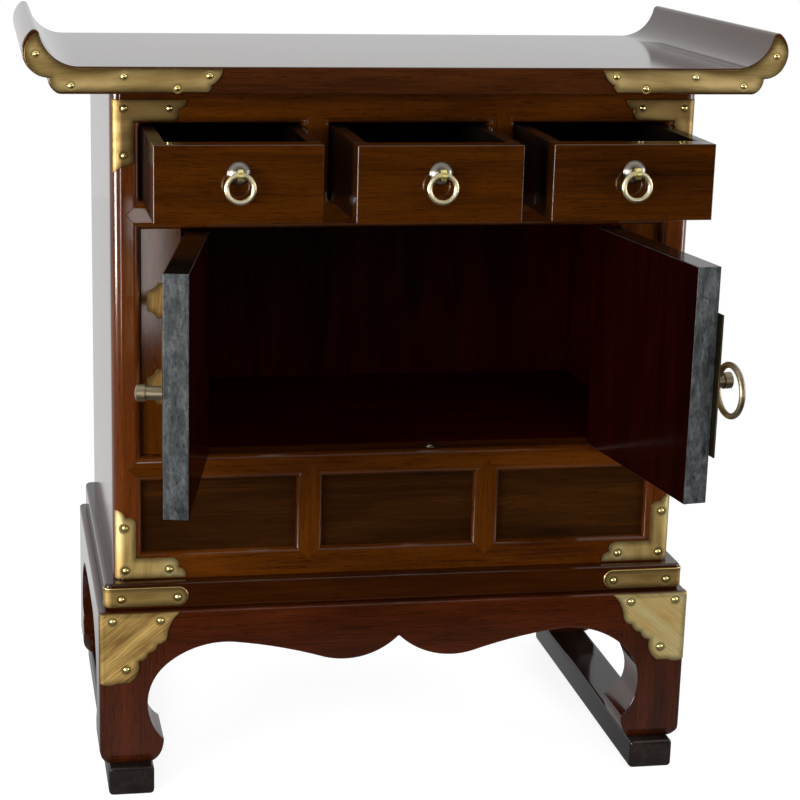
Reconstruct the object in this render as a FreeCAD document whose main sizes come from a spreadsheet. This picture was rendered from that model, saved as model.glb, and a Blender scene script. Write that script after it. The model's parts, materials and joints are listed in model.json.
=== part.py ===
"""Korean end table cabinet, built as separate pieces in millimetres.

X runs to the right, the front faces -Y and Z is up. The origin lies on the floor
under the middle of the cabinet. Doors and drawers stand open, as in the rest pose.
"""
import math
import os
import re

import FreeCAD
import Part
import Sketcher
from FreeCAD import Placement, Rotation, Vector

# Driving sizes in mm and degrees, as name, value and meaning.
SIZES = [
    ("top_length", 610.0, "top from scroll tip to scroll tip"),
    ("top_deep", 312.0, "top from front to back"),
    ("top_thick", 21.0, "top board"),
    ("scroll_long", 43.0, "scroll end outside the top board"),
    ("cove_radius", 30.4, "hollow between the top and the scroll tip"),
    ("tip_round", 4.0, "rounded tip of the scroll"),
    ("scroll_bulge", 16.0, "swell of the scroll's outer side"),
    ("cusp_in", 19.0, "cusp under the scroll, in from the tip of the swell"),
    ("cusp_up", 12.5, "cusp above the underside of the top"),
    ("scroll_foot", 27.5, "start of the small curve under the scroll"),
    ("scroll_foot_bulge", 2.4, "swell of that small curve"),
    ("runner_tall", 25.0, "floor runner"),
    ("runner_wide", 38.0, "floor runner"),
    ("runner_inset", 7.0, "runner in from the outer side of the legs"),
    ("runner_end_out", 5.5, "runner end before the face of the legs"),
    ("base_wide", 503.0, "legs, outer side to outer side"),
    ("base_deep", 307.0, "legs, front face to back face"),
    ("leg_tall", 135.0, "leg from runner to plinth"),
    ("leg_wide", 56.0, "leg at its head"),
    ("leg_corner", 4.5, "rounded outer edges of the legs"),
    ("leg_rim", 3.0, "rounded upper edges of legs and aprons"),
    ("shoulder_drop", 46.5, "start of the leg curve under the leg's head"),
    ("neck_depth", 14.7, "hollow of the leg curve"),
    ("toe_in", 53.5, "toe point in from the outer side of the leg"),
    ("toe_up", 22.0, "toe point above the runner"),
    ("sole_in", 44.5, "inner end of the sole"),
    ("toe_bulge", 2.2, "swell under the toe"),
    ("heel_in", 6.5, "outer end of the sole"),
    ("heel_up", 19.0, "start of the heel curve above the runner"),
    ("heel_bulge", 2.6, "swell of the heel"),
    ("apron_thick", 20.0, "apron boards"),
    ("crest_in", 55.5, "crest of the apron curve from the leg"),
    ("crest_drop", 29.4, "crest under the head of the apron"),
    ("crest_bulge", 5.8, "swell of the curve beside the leg"),
    ("rise_bulge", 1.9, "swell of the long rising curve"),
    ("turn_out", 63.5, "outer end of the hanging lobe from the middle"),
    ("turn_drop", 46.2, "outer end of the hanging lobe under the head"),
    ("lobe_bulge", 8.9, "swell of the hanging lobe"),
    ("peak_drop", 29.5, "middle peak under the head of the apron"),
    ("side_arch", 1.5, "camber of the side apron between its crests"),
    ("plinth_wide", 492.0, "plinth board"),
    ("plinth_deep", 296.0, "plinth board"),
    ("plinth_tall", 23.0, "plinth board"),
    ("plinth_round", 3.0, "rounded plinth edges"),
    ("plinth_corner", 6.0, "rounded plinth corners"),
    ("case_wide", 476.0, "case, outer side to outer side"),
    ("case_deep", 273.0, "case, front to back"),
    ("case_tall", 400.0, "case from plinth to top"),
    ("frame_deep", 25.0, "depth of the front frame"),
    ("post_wide", 23.5, "front posts"),
    ("top_rail_tall", 25.0, "rail over the drawers"),
    ("drawer_open", 60.5, "height of the drawer openings"),
    ("drawer_rail_tall", 23.0, "rail under the drawers"),
    ("waist_rail_tall", 21.5, "rail under the doors"),
    ("panel_open", 60.5, "height of the lower panels"),
    ("bottom_rail_tall", 22.5, "rail on the plinth"),
    ("divider_wide", 23.0, "dividers between the drawers"),
    ("muntin_wide", 22.0, "muntins between the lower panels"),
    ("edge_round", 6.0, "rounded edges round the openings"),
    ("corner_round", 10.0, "rounded outer edges of the front"),
    ("panel_recess", 7.5, "panels, doors and drawers behind the frame's face"),
    ("panel_thick", 10.0, "lower panels"),
    ("side_thick", 22.0, "side boards"),
    ("back_thick", 10.0, "back panel"),
    ("shelf_thick", 12.0, "cupboard floor and dust board"),
    ("door_thick", 19.0, "doors and hinge panels"),
    ("hinge_panel_wide", 33.0, "fixed panel beside each door"),
    ("hinge_gap", 0.8, "door edge and panel edge from the hinge pin"),
    ("door_gap", 1.5, "gap above and below a door"),
    ("meeting_gap", 2.0, "gap between the closed doors"),
    ("left_door_angle", 101.0, "left door turned from closed"),
    ("right_door_angle", 98.2, "right door turned from closed"),
    ("ease_round", 0.8, "eased edges of doors and drawer fronts"),
    ("brass_thick", 1.2, "brass plates"),
    ("barrel_radius", 2.6, "hinge barrel"),
    ("pin_radius", 1.5, "hinge pin"),
    ("pin_play", 0.05, "hinge pin in its barrel"),
    ("leaf_long", 28.5, "hinge leaf from pin to end"),
    ("leaf_tall", 29.0, "hinge leaf"),
    ("leaf_step", 8.0, "scalloped end of a leaf"),
    ("leaf_nose", 16.0, "height of a leaf's end"),
    ("knuckle_tall", 11.0, "middle knuckle, on the door leaf"),
    ("knuckle_gap", 0.3, "gap between knuckles"),
    ("low_hinge_up", 57.0, "lower hinge from the cupboard floor"),
    ("hinge_step", 71.0, "lower hinge to upper hinge"),
    ("plate_tall", 111.0, "lock plate"),
    ("plate_wide", 34.0, "lock plate in from the free edge of the door"),
    ("plate_up", 94.5, "lock plate middle from the cupboard floor"),
    ("plate_step", 9.0, "scalloped corners of a lock plate"),
    ("lip_long", 7.0, "lip of the right plate past the door edge"),
    ("lip_free", 0.5, "left plate from the lip of the right one"),
    ("knob_in", 12.0, "knobs from the free edge of the door"),
    ("knob_neck", 5.25, "neck radius of a knob"),
    ("knob_head", 6.35, "head radius of a knob"),
    ("knob_neck_long", 12.6, "neck of a knob"),
    ("knob_head_long", 8.0, "head of a knob"),
    ("knob_crown", 1.8, "crown of a knob's head"),
    ("latch_radius", 19.5, "latch ring to the middle of its wire"),
    ("latch_wire", 2.4, "wire radius of the latch ring"),
    ("latch_bore", 2.95, "bore radius through the right knob"),
    ("latch_out", 8.8, "bore above the lock plate"),
    ("latch_tilt", 9.0, "bore leaning from upright"),
    ("latch_slack", 0.35, "ring wire off the middle of the bore"),
    ("catch_out", 27.8, "floor catch from the middle"),
    ("catch_flange", 5.8, "flange radius of the floor catch"),
    ("catch_head", 3.2, "head radius of the floor catch"),
    ("catch_flange_tall", 0.5, "flange of the floor catch"),
    ("catch_tall", 1.1, "floor catch above the rail"),
    ("drawer_side_gap", 0.5, "play beside a drawer"),
    ("drawer_low_gap", 0.6, "play under a drawer"),
    ("drawer_top_gap", 1.6, "play over a drawer"),
    ("drawer_front_thick", 19.0, "drawer fronts"),
    ("drawer_long", 235.0, "drawer from front to back"),
    ("drawer_wall", 10.0, "sides and back of a drawer"),
    ("drawer_floor", 5.0, "bottom of a drawer"),
    ("drawer_floor_up", 3.0, "bottom board above the lower edge of a drawer"),
    ("left_drawer_out", 121.0, "left drawer pulled from closed"),
    ("middle_drawer_out", 127.5, "middle drawer pulled from closed"),
    ("right_drawer_out", 124.0, "right drawer pulled from closed"),
    ("pull_up", 37.4, "pull above the lower edge of a drawer front"),
    ("dome_radius", 9.0, "domed base of a pull"),
    ("dome_tall", 5.5, "domed base of a pull"),
    ("dome_bulge", 1.45, "swell of the dome's profile"),
    ("eye_radius", 4.6, "eye of a pull"),
    ("eye_thick", 3.4, "eye of a pull"),
    ("eye_bore", 2.45, "bore radius of the eye"),
    ("eye_out", 8.0, "eye in front of the drawer"),
    ("ring_radius", 10.2, "pull ring to the middle of its wire"),
    ("ring_wire", 1.95, "wire radius of a pull ring"),
    ("strap_inset", 1.3, "top strap inside the outline of the top"),
    ("strap_tip_drop", 4.2, "top strap under the tip of the scroll"),
    ("strap_tip_round", 2.4, "rounded tip of the top strap"),
    ("strap_inner", 151.7, "upper inner end of the top strap from the middle"),
    ("strap_notch_in", 9.0, "notch of the strap's inner end, along"),
    ("strap_notch_up", 5.5, "notch of the strap's inner end, above its lower edge"),
    ("strap_end_in", 12.0, "lower inner end of the top strap"),
    ("strap_bulge", 2.2, "swell of the strap end's upper lobe"),
    ("strap_foot_bulge", 1.0, "swell of the strap end's lower lobe"),
    ("bracket_arm", 58.0, "arms of the corner brackets"),
    ("bracket_wide", 17.0, "width of those arms"),
    ("bracket_notch", 8.5, "notch in the end of an arm from its outer side"),
    ("bracket_notch_in", 6.0, "notch behind the end of an arm"),
    ("bracket_end_in", 10.5, "inner corner of an arm's end"),
    ("bracket_bulge", 2.1, "swell of the lobes of an arm's end"),
    ("bracket_side_in", 1.5, "corner brackets in from the side of the case"),
    ("bracket_low_in", 1.2, "lower brackets above the plinth"),
    ("bracket_high_in", 6.0, "upper brackets under the top"),
    ("plinth_strap_long", 71.0, "plinth straps"),
    ("plinth_strap_tall", 16.4, "plinth straps"),
    ("wrap_deep", 7.5, "brass wrapped round an outer corner, behind the face"),
    ("plinth_strap_bulge", 7.2, "swell of a plinth strap's inner end"),
    ("toe_plate_wide", 66.0, "leg brackets along the apron"),
    ("toe_plate_tall", 60.5, "leg brackets down the leg"),
    ("toe_plate_in", 0.6, "leg brackets in from the leg's edges"),
    ("tip_long", 10.4, "hollow of the bracket's tip along the apron"),
    ("tip_drop", 20.2, "hollow of the bracket's tip downward"),
    ("tip_hollow", 2.2, "depth of that hollow"),
    ("scallop_along", 7.95, "each scallop along the apron"),
    ("scallop_down", 7.1, "each scallop downward"),
    ("scallop_bulge", 2.1, "swell of a scallop"),
    ("belly_along", 8.0, "large lobe along the apron"),
    ("belly_bulge", 3.4, "swell of the large lobe"),
    ("heel_lobe", 14.5, "small lobe at the leg's edge"),
    ("heel_lobe_bulge", 1.6, "swell of the small lobe"),
]

doc = FreeCAD.newDocument("korean_end_table_cabinet")
sheet = doc.addObject("Spreadsheet::Sheet", "dim")
for row, (name, value, meaning) in enumerate(SIZES, 1):
    sheet.set(f"A{row}", meaning)
    sheet.set(f"B{row}", str(value))
    sheet.setAlias(f"B{row}", name)
doc.recompute()

LEFT, RIGHT = -1, 1
OUT, IN = 1, -1
ALIASES = re.compile(r"\b(" + "|".join(name for name, _, _ in SIZES) + r")\b")
pieces = []


def formula(text):
    """Turns a formula over size names into one over the sheet's cells."""
    return ALIASES.sub(r"dim.\1", str(text))


def size(text):
    """Works out a formula over size names."""
    return float(sheet.evalExpression(formula(text)))


def bind(obj, prop, text):
    """Ties a property to a formula over size names."""
    obj.setExpression(prop, formula(text))


def keep(obj, label):
    """Names an object and lists it as a piece of the cabinet."""
    obj.Label = label
    pieces.append(obj)
    return obj


# Heights of the faces that pieces rest on, from the floor up.
LEG_LOW = "runner_tall"
BASE_TOP = "(runner_tall + leg_tall)"
CASE_LOW = f"({BASE_TOP} + plinth_tall)"
PANEL_LOW = f"({CASE_LOW} + bottom_rail_tall)"
PANEL_TOP = f"({PANEL_LOW} + panel_open)"
DOOR_LOW = f"({PANEL_TOP} + waist_rail_tall)"
CASE_TOP = f"({CASE_LOW} + case_tall)"
DRAWER_TOP = f"({CASE_TOP} - top_rail_tall)"
DRAWER_LOW = f"({DRAWER_TOP} - drawer_open)"
DOOR_TOP = f"({DRAWER_LOW} - drawer_rail_tall)"

# Planes that several pieces share.
HALF_CASE = "(case_wide / 2)"
HALF_OPEN = "(case_wide / 2 - post_wide)"
HALF_INSIDE = "(case_wide / 2 - side_thick)"
FRONT = "(-case_deep / 2)"
FRAME_BACK = "(frame_deep - case_deep / 2)"
BACK_FACE = "(case_deep / 2 - back_thick)"
FACE = "(panel_recess - case_deep / 2)"
DRAWER_WIDE = "((case_wide - 2 * post_wide - 2 * divider_wide) / 3)"
DIVIDER_X = f"({DRAWER_WIDE} / 2 + divider_wide / 2)"
PANEL_WIDE = "((case_wide - 2 * post_wide - 2 * muntin_wide) / 3)"
MUNTIN_X = f"({PANEL_WIDE} / 2 + muntin_wide / 2)"
LEG_IN = "(base_wide / 2 - leg_wide)"
LEG_IN_Y = "(base_deep / 2 - leg_wide)"
PIN_X = f"({HALF_OPEN} - hinge_panel_wide - hinge_gap)"
PIN_Y = f"({FACE} - barrel_radius)"
DOOR_WIDE = f"({PIN_X} - hinge_gap - meeting_gap / 2)"


def board(label, x, y, z, piece=True):
    """Makes a plain board between two formulas on each axis."""
    box = doc.addObject("Part::Box", label)
    for prop, axis, (low, high) in zip(("Length", "Width", "Height"), "xyz", (x, y, z)):
        bind(box, prop, f"({high}) - ({low})")
        bind(box, f"Placement.Base.{axis}", low)
    return keep(box, label) if piece else box


def group(label, members):
    """Gathers identical loose pieces under one name."""
    compound = doc.addObject("Part::Compound", label)
    compound.Links = members
    return keep(compound, label)


def new_sketch(body, plane, at):
    """Lays a sketch on a plane of the body, with its origin at formulas x, y, z."""
    sketch = body.newObject("Sketcher::SketchObject", body.Name + "_sketch")
    roles = {item.Role: item for item in body.Origin.OriginFeatures}
    sketch.AttachmentSupport = [(roles[plane], "")]
    sketch.MapMode = "FlatFace"
    x, y, z = at
    turned = {"XY_Plane": (x, y, z), "XZ_Plane": (x, z, f"-({y})"), "YZ_Plane": (y, z, x)}
    for axis, text in zip("xyz", turned[plane]):
        bind(sketch, f"AttachmentOffset.Base.{axis}", text)
    return sketch


def outline(sketch, corners, side=RIGHT):
    """Draws a closed outline, each corner tied to formulas.

    A corner is (x, y), reached by a straight line, or (x, y, way, bulge), reached by an
    arc that swells out of the piece or into it. Corners run anticlockwise; the left side
    is the mirror image.
    """
    points = [Vector(side * size(c[0]), size(c[1]), 0) for c in corners]
    ends = []
    for i, corner in enumerate(corners):
        start, stop = points[i - 1], points[i]
        if len(corner) == 2:
            ends.append((sketch.addGeometry(Part.LineSegment(start, stop), False), 1, 2))
            continue
        x, y, way, bulge = corner
        chord = stop - start
        swell = Vector(chord.y, -chord.x, 0).normalize() * (side * way)
        rise = size(bulge)
        radius = chord.Length ** 2 / (8 * rise) + rise / 2
        centre = (start + stop) * 0.5 + swell * (rise - radius)
        forward = side * way > 0
        first, last = (start, stop) if forward else (stop, start)
        angles = [math.atan2(p.y - centre.y, p.x - centre.x) for p in (first, last)]
        circle = Part.Circle(centre, Vector(0, 0, 1), radius)
        arc = sketch.addGeometry(Part.ArcOfCircle(circle, *angles), False)
        ends.append((arc, 1, 2) if forward else (arc, 2, 1))
        x0, y0 = corners[i - 1][:2]
        span = f"(({x} - ({x0}))^2 + ({y} - ({y0}))^2)"
        tie(sketch, "Radius", (arc, radius), f"{span} / (8 * ({bulge})) + ({bulge}) / 2")
    for i, corner in enumerate(corners):
        curve, _, stop = ends[i]
        follower, start, _ = ends[(i + 1) % len(ends)]
        sketch.addConstraint(Sketcher.Constraint("Coincident", curve, stop, follower, start))
        tie(sketch, "DistanceX", (-1, 1, curve, stop, points[i].x), f"{side} * ({corner[0]})")
        tie(sketch, "DistanceY", (-1, 1, curve, stop, points[i].y), corner[1])


def tie(sketch, kind, where, text):
    """Adds a dimension to a sketch and ties it to a formula."""
    number = sketch.addConstraint(Sketcher.Constraint(kind, *where))
    bind(sketch, f"Constraints[{number}]", text)


def plate(label, plane, corners, depth, at, side=RIGHT, body=None):
    """Pads an outline: toward -Y from XZ, toward +X from YZ, toward +Z from XY."""
    body = body or doc.addObject("PartDesign::Body", label)
    sketch = new_sketch(body, plane, at)
    outline(sketch, corners, side)
    pad = body.newObject("PartDesign::Pad", label + "_pad")
    pad.Profile = sketch
    bind(pad, "Length", depth)
    return body


def turned(body, corners, at):
    """Turns a profile of (radius, out) about an axis toward -Y through a point."""
    sketch = new_sketch(body, "XY_Plane", at)
    outline(sketch, [(c[0], f"-({c[1]})") + tuple(c[2:]) for c in corners])
    turning = body.newObject("PartDesign::Revolution", body.Name + "_turning")
    turning.Profile = sketch
    turning.ReferenceAxis = (sketch, ["V_Axis"])
    turning.Angle = 360.0
    return body


def rod(body, kind, radius, length, at, axis=Vector(0, 0, 1)):
    """Adds or cuts a round rod that starts at formulas x, y, z."""
    cylinder = body.newObject(f"PartDesign::{kind}Cylinder", body.Name + "_rod")
    cylinder.Placement = Placement(Vector(), Rotation(Vector(0, 0, 1), axis))
    bind(cylinder, "Radius", radius)
    bind(cylinder, "Height", length)
    for name, text in zip("xyz", at):
        bind(cylinder, f"Placement.Base.{name}", text)
    return cylinder


def round_edges(body, pick, radius):
    """Rounds those edges of a body that the test picks."""
    doc.recompute()
    base = body.Tip
    names = [f"Edge{i}" for i, edge in enumerate(base.Shape.Edges, 1) if pick(edge)]
    fillet = body.newObject("PartDesign::Fillet", body.Name + "_round")
    fillet.Base = (base, names)
    bind(fillet, "Radius", radius)


def lies_at(edge, axis, text):
    """Tells whether an edge lies in the plane at a formula on an axis."""
    level = size(text)
    return all(abs(getattr(v.Point, axis) - level) < 1e-6 for v in edge.Vertexes)


def runs_along(edge, axis):
    """Tells whether a straight edge runs along an axis."""
    first, last = edge.Vertexes[0].Point, edge.Vertexes[-1].Point
    return all(abs(getattr(last - first, other)) < 1e-6 for other in "xyz" if other != axis)


def is_opening_edge(edge):
    """Picks the front edges that border an opening of the front frame."""
    straight = runs_along(edge, "x") or runs_along(edge, "z")
    rim = (lies_at(edge, "z", CASE_TOP) or lies_at(edge, "z", CASE_LOW)
           or lies_at(edge, "x", HALF_CASE) or lies_at(edge, "x", f"-{HALF_CASE}"))
    return lies_at(edge, "y", FRONT) and straight and not rim


def frame_member(label, corners, side=RIGHT, piece=True):
    """Makes a member of the front frame, rounded where it borders an opening."""
    body = plate(label, "XZ_Plane", corners, "frame_deep", ("0", FRAME_BACK, "0"), side)
    round_edges(body, is_opening_edge, "edge_round")
    return keep(body, label) if piece else body


def corner_member(label, corners, side=RIGHT):
    """Makes a member of the front frame that shares its rounded outer corners."""
    member = doc.addObject("Part::Common", label)
    member.Base = frame_member(label + "_square", corners, side, piece=False)
    member.Tool = case_block
    return keep(member, label)


def notch(x, z, half, way):
    """Gives the three corners of a mitre notch, met travelling toward way * X."""
    depth = f"({z} + {half})" if way > 0 else f"({z} - {half})"
    return [(f"({x} - {way} * {half})", z), (x, depth), (f"({x} + {way} * {half})", z)]


# Rounded blocks, which rounded corners are cut to and brass is wrapped round.
def rounded_block(label, half_x, half_y, low, tall, corner):
    """Makes an upright block with rounded corners."""
    rectangle = [(f"-{half_x}", f"-{half_y}"), (half_x, f"-{half_y}"),
                 (half_x, half_y), (f"-{half_x}", half_y)]
    block = plate(label, "XY_Plane", rectangle, tall, ("0", "0", low))
    round_edges(block, lambda edge: runs_along(edge, "z"), corner)
    return block


def base_shape(label, grow):
    """Makes the block that legs and aprons are cut to, or one that is larger all round."""
    block = rounded_block(label, f"(base_wide / 2 + {grow})", f"(base_deep / 2 + {grow})",
                          LEG_LOW, f"leg_tall + {grow}", f"leg_corner + {grow}")
    round_edges(block, lambda edge: lies_at(edge, "z", f"{BASE_TOP} + {grow}"), f"leg_rim + {grow}")
    return block


base_block = base_shape("base_block", "0")


# Floor runners, legs and aprons.
def leg_profile(outer):
    """Outline of a leg from its heel round to its head, seen from the front or side."""
    return [
        (f"({outer} - leg_wide)", BASE_TOP),
        (f"({outer} - leg_wide)", f"({BASE_TOP} - shoulder_drop)"),
        (f"({outer} - toe_in)", f"({LEG_LOW} + toe_up)", IN, "neck_depth"),
        (f"({outer} - sole_in)", LEG_LOW, OUT, "toe_bulge"),
        (f"({outer} - heel_in)", LEG_LOW),
        (outer, f"({LEG_LOW} + heel_up)", OUT, "heel_bulge"),
        (outer, BASE_TOP),
    ]


def leg(label, side, end):
    """Makes a leg as the meeting of its front profile and its side profile."""
    back = "base_deep / 2" if end > 0 else "leg_wide - base_deep / 2"
    front = plate(label + "_front", "XZ_Plane", leg_profile("(base_wide / 2)"), "leg_wide",
                  ("0", back, "0"), side)
    low = "base_wide / 2 - leg_wide" if side > 0 else "-base_wide / 2"
    flank = plate(label + "_flank", "YZ_Plane", leg_profile("(base_deep / 2)"), "leg_wide",
                  (low, "0", "0"), end)
    meeting = doc.addObject("Part::MultiCommon", label)
    meeting.Shapes = [front, flank, base_block]
    return keep(meeting, label)


def apron(label, plane, corners, at):
    """Makes an apron that shares the rounded upper edge of the legs."""
    member = doc.addObject("Part::Common", label)
    member.Base = plate(label + "_square", plane, corners, "apron_thick", at)
    member.Tool = base_block
    return keep(member, label)


def apron_profile(half, middle):
    """Outline of an apron that is curved from leg to leg, with the middle given."""
    shoulder = f"({BASE_TOP} - shoulder_drop)"
    crest = f"({BASE_TOP} - crest_drop)"
    near = f"({half} - crest_in)"
    return [
        (f"-{half}", BASE_TOP),
        (f"-{half}", shoulder),
        (f"-{near}", crest, IN, "crest_bulge"),
        *middle(near, crest),
        (half, shoulder, IN, "crest_bulge"),
        (half, BASE_TOP),
    ]


def hanging_lobes(near, crest):
    """Two hanging lobes that meet in a peak, for the front and the back."""
    turn = f"({BASE_TOP} - turn_drop)"
    return [
        ("-turn_out", turn, IN, "rise_bulge"),
        ("0", f"({BASE_TOP} - peak_drop)", OUT, "lobe_bulge"),
        ("turn_out", turn, OUT, "lobe_bulge"),
        (near, crest, IN, "rise_bulge"),
    ]


def plain_arch(near, crest):
    """A low camber, for the sides."""
    return [(near, crest, IN, "side_arch")]


RUNNER_X = ("base_wide / 2 - runner_inset - runner_wide", "base_wide / 2 - runner_inset")
RUNNER_Y = ("-base_deep / 2 - runner_end_out", "base_deep / 2 + runner_end_out")
board("left_runner", [f"-({text})" for text in reversed(RUNNER_X)], RUNNER_Y, ("0", LEG_LOW))
board("right_runner", RUNNER_X, RUNNER_Y, ("0", LEG_LOW))
leg("front_left_leg", LEFT, -1)
leg("front_right_leg", RIGHT, -1)
leg("back_left_leg", LEFT, 1)
leg("back_right_leg", RIGHT, 1)
long_apron = apron_profile(LEG_IN, hanging_lobes)
short_apron = apron_profile(LEG_IN_Y, plain_arch)
apron("front_apron", "XZ_Plane", long_apron, ("0", "apron_thick - base_deep / 2", "0"))
apron("back_apron", "XZ_Plane", long_apron, ("0", "base_deep / 2", "0"))
apron("left_apron", "YZ_Plane", short_apron, ("-base_wide / 2", "0", "0"))
apron("right_apron", "YZ_Plane", short_apron, ("base_wide / 2 - apron_thick", "0", "0"))

# Plinth board, the bottom of the case.
def plinth_block(label, grow):
    """Makes the plinth board, or one that is larger all round."""
    block = rounded_block(label, f"(plinth_wide / 2 + {grow})", f"(plinth_deep / 2 + {grow})",
                          f"{BASE_TOP} - {grow}", f"plinth_tall + 2 * {grow}", f"plinth_corner + {grow}")
    rims = (f"{BASE_TOP} - {grow}", f"{CASE_LOW} + {grow}")
    round_edges(block, lambda edge: any(lies_at(edge, "z", rim) for rim in rims), f"plinth_round + {grow}")
    return block


plinth = keep(plinth_block("plinth_board", "0"), "plinth_board")

# Front frame: posts, rails, dividers and muntins, with pointed mitres at every joint.
case_block = rounded_block("case_block", HALF_CASE, "(case_deep / 2)", CASE_LOW, "case_tall", "corner_round")
WAIST_MID = f"({DOOR_LOW} - waist_rail_tall / 2)"
DRAWER_RAIL_MID = f"({DRAWER_LOW} - drawer_rail_tall / 2)"
post = [
    (HALF_CASE, CASE_LOW),
    (HALF_CASE, CASE_TOP),
    (HALF_OPEN, DRAWER_TOP),
    (HALF_OPEN, DRAWER_LOW),
    (f"({HALF_OPEN} + drawer_rail_tall / 2)", DRAWER_RAIL_MID),
    (HALF_OPEN, DOOR_TOP),
    (HALF_OPEN, DOOR_LOW),
    (f"({HALF_OPEN} + waist_rail_tall / 2)", WAIST_MID),
    (HALF_OPEN, PANEL_TOP),
    (HALF_OPEN, PANEL_LOW),
]
corner_member("left_post", post, LEFT)
corner_member("right_post", post, RIGHT)

half_divider, half_muntin = "divider_wide / 2", "muntin_wide / 2"
corner_member("top_rail", [
    (f"-{HALF_CASE}", CASE_TOP),
    (f"-{HALF_OPEN}", DRAWER_TOP),
    *notch(f"(-{DIVIDER_X})", DRAWER_TOP, half_divider, 1),
    *notch(DIVIDER_X, DRAWER_TOP, half_divider, 1),
    (HALF_OPEN, DRAWER_TOP),
    (HALF_CASE, CASE_TOP),
])
frame_member("drawer_rail", [
    (f"-{HALF_OPEN}", DOOR_TOP),
    (HALF_OPEN, DOOR_TOP),
    (f"({HALF_OPEN} + drawer_rail_tall / 2)", DRAWER_RAIL_MID),
    (HALF_OPEN, DRAWER_LOW),
    *notch(DIVIDER_X, DRAWER_LOW, half_divider, -1),
    *notch(f"(-{DIVIDER_X})", DRAWER_LOW, half_divider, -1),
    (f"-{HALF_OPEN}", DRAWER_LOW),
    (f"-({HALF_OPEN} + drawer_rail_tall / 2)", DRAWER_RAIL_MID),
])
frame_member("waist_rail", [
    (f"-{HALF_OPEN}", PANEL_TOP),
    *notch(f"(-{MUNTIN_X})", PANEL_TOP, half_muntin, 1),
    *notch(MUNTIN_X, PANEL_TOP, half_muntin, 1),
    (HALF_OPEN, PANEL_TOP),
    (f"({HALF_OPEN} + waist_rail_tall / 2)", WAIST_MID),
    (HALF_OPEN, DOOR_LOW),
    (f"-{HALF_OPEN}", DOOR_LOW),
    (f"-({HALF_OPEN} + waist_rail_tall / 2)", WAIST_MID),
])
corner_member("bottom_rail", [
    (f"-{HALF_CASE}", CASE_LOW),
    (HALF_CASE, CASE_LOW),
    (HALF_OPEN, PANEL_LOW),
    *notch(MUNTIN_X, PANEL_LOW, half_muntin, -1),
    *notch(f"(-{MUNTIN_X})", PANEL_LOW, half_muntin, -1),
    (f"-{HALF_OPEN}", PANEL_LOW),
])


def upright(label, x, half, low, top, side):
    """Makes a short upright with pointed ends between two rails."""
    return frame_member(label, [
        (x, f"({low} - {half})"),
        (f"({x} + {half})", low),
        (f"({x} + {half})", top),
        (x, f"({top} + {half})"),
        (f"({x} - {half})", top),
        (f"({x} - {half})", low),
    ], side, piece=False)


group("drawer_dividers", [
    upright(f"divider_{side}", DIVIDER_X, half_divider, DRAWER_LOW, DRAWER_TOP, side)
    for side in (LEFT, RIGHT)])
group("muntins", [
    upright(f"muntin_{side}", MUNTIN_X, half_muntin, PANEL_LOW, PANEL_TOP, side)
    for side in (LEFT, RIGHT)])

# Boards of the case behind and inside the frame.
PANEL_BACK = f"{FACE} + panel_thick"
DOOR_BACK = f"{FACE} + door_thick"
panels = []
for number in (-1, 0, 1):
    middle = f"{number} * 2 * {MUNTIN_X}"
    width = (f"{middle} - {PANEL_WIDE} / 2", f"{middle} + {PANEL_WIDE} / 2")
    panels.append(board(f"panel_{number}", width, (FACE, PANEL_BACK), (PANEL_LOW, PANEL_TOP), piece=False))
group("lower_panels", panels)
HINGE_PANEL = f"({HALF_OPEN} - hinge_panel_wide)"
board("left_hinge_panel", (f"-{HALF_OPEN}", f"-{HINGE_PANEL}"), (FACE, DOOR_BACK), (DOOR_LOW, DOOR_TOP))
board("right_hinge_panel", (HINGE_PANEL, HALF_OPEN), (FACE, DOOR_BACK), (DOOR_LOW, DOOR_TOP))
side_y, case_z = (FRAME_BACK, "case_deep / 2"), (CASE_LOW, CASE_TOP)
board("left_side", (f"-{HALF_CASE}", f"-{HALF_INSIDE}"), side_y, case_z)
board("right_side", (HALF_INSIDE, HALF_CASE), side_y, case_z)
inside_x = (f"-{HALF_INSIDE}", HALF_INSIDE)
inside_y = (FRAME_BACK, BACK_FACE)
board("back_panel", inside_x, (BACK_FACE, "case_deep / 2"), case_z)
board("cupboard_floor", inside_x, inside_y, (f"{DOOR_LOW} - shelf_thick", DOOR_LOW))
board("dust_board", inside_x, inside_y, (f"{DRAWER_LOW} - shelf_thick", DRAWER_LOW))
partitions = []
for side in (LEFT, RIGHT):
    width = (f"{side} * {DIVIDER_X} - divider_wide / 2", f"{side} * {DIVIDER_X} + divider_wide / 2")
    partitions.append(board(f"partition_{side}", width, inside_y, (DRAWER_LOW, CASE_TOP), piece=False))
group("drawer_partitions", partitions)

# Top board with upturned scroll ends.
END_X = "(top_length / 2 - scroll_long)"
CUSP_X = "(top_length / 2 - cusp_in)"
CUSP_Z = f"({CASE_TOP} + cusp_up)"
TIP_X = f"({END_X} + cove_radius)"
TIP_Z = f"({CASE_TOP} + top_thick + cove_radius)"
COVE = "(cove_radius * (1 - sqrt(2) / 2))"
board("top_board", (f"-{END_X}", END_X), ("-top_deep / 2", "top_deep / 2"),
      (CASE_TOP, f"{CASE_TOP} + top_thick"))
scroll = [
    (END_X, CASE_TOP),
    ("(top_length / 2 - scroll_foot)", CASE_TOP),
    (CUSP_X, CUSP_Z, OUT, "scroll_foot_bulge"),
    (TIP_X, TIP_Z, OUT, "scroll_bulge"),
    (END_X, f"({CASE_TOP} + top_thick)", IN, COVE),
]
for label, side in (("left_scroll_end", LEFT), ("right_scroll_end", RIGHT)):
    body = plate(label, "XZ_Plane", scroll, "top_deep", ("0", "top_deep / 2", "0"), side)
    round_edges(body, lambda edge: lies_at(edge, "z", TIP_Z), "tip_round")
    keep(body, label)


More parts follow.
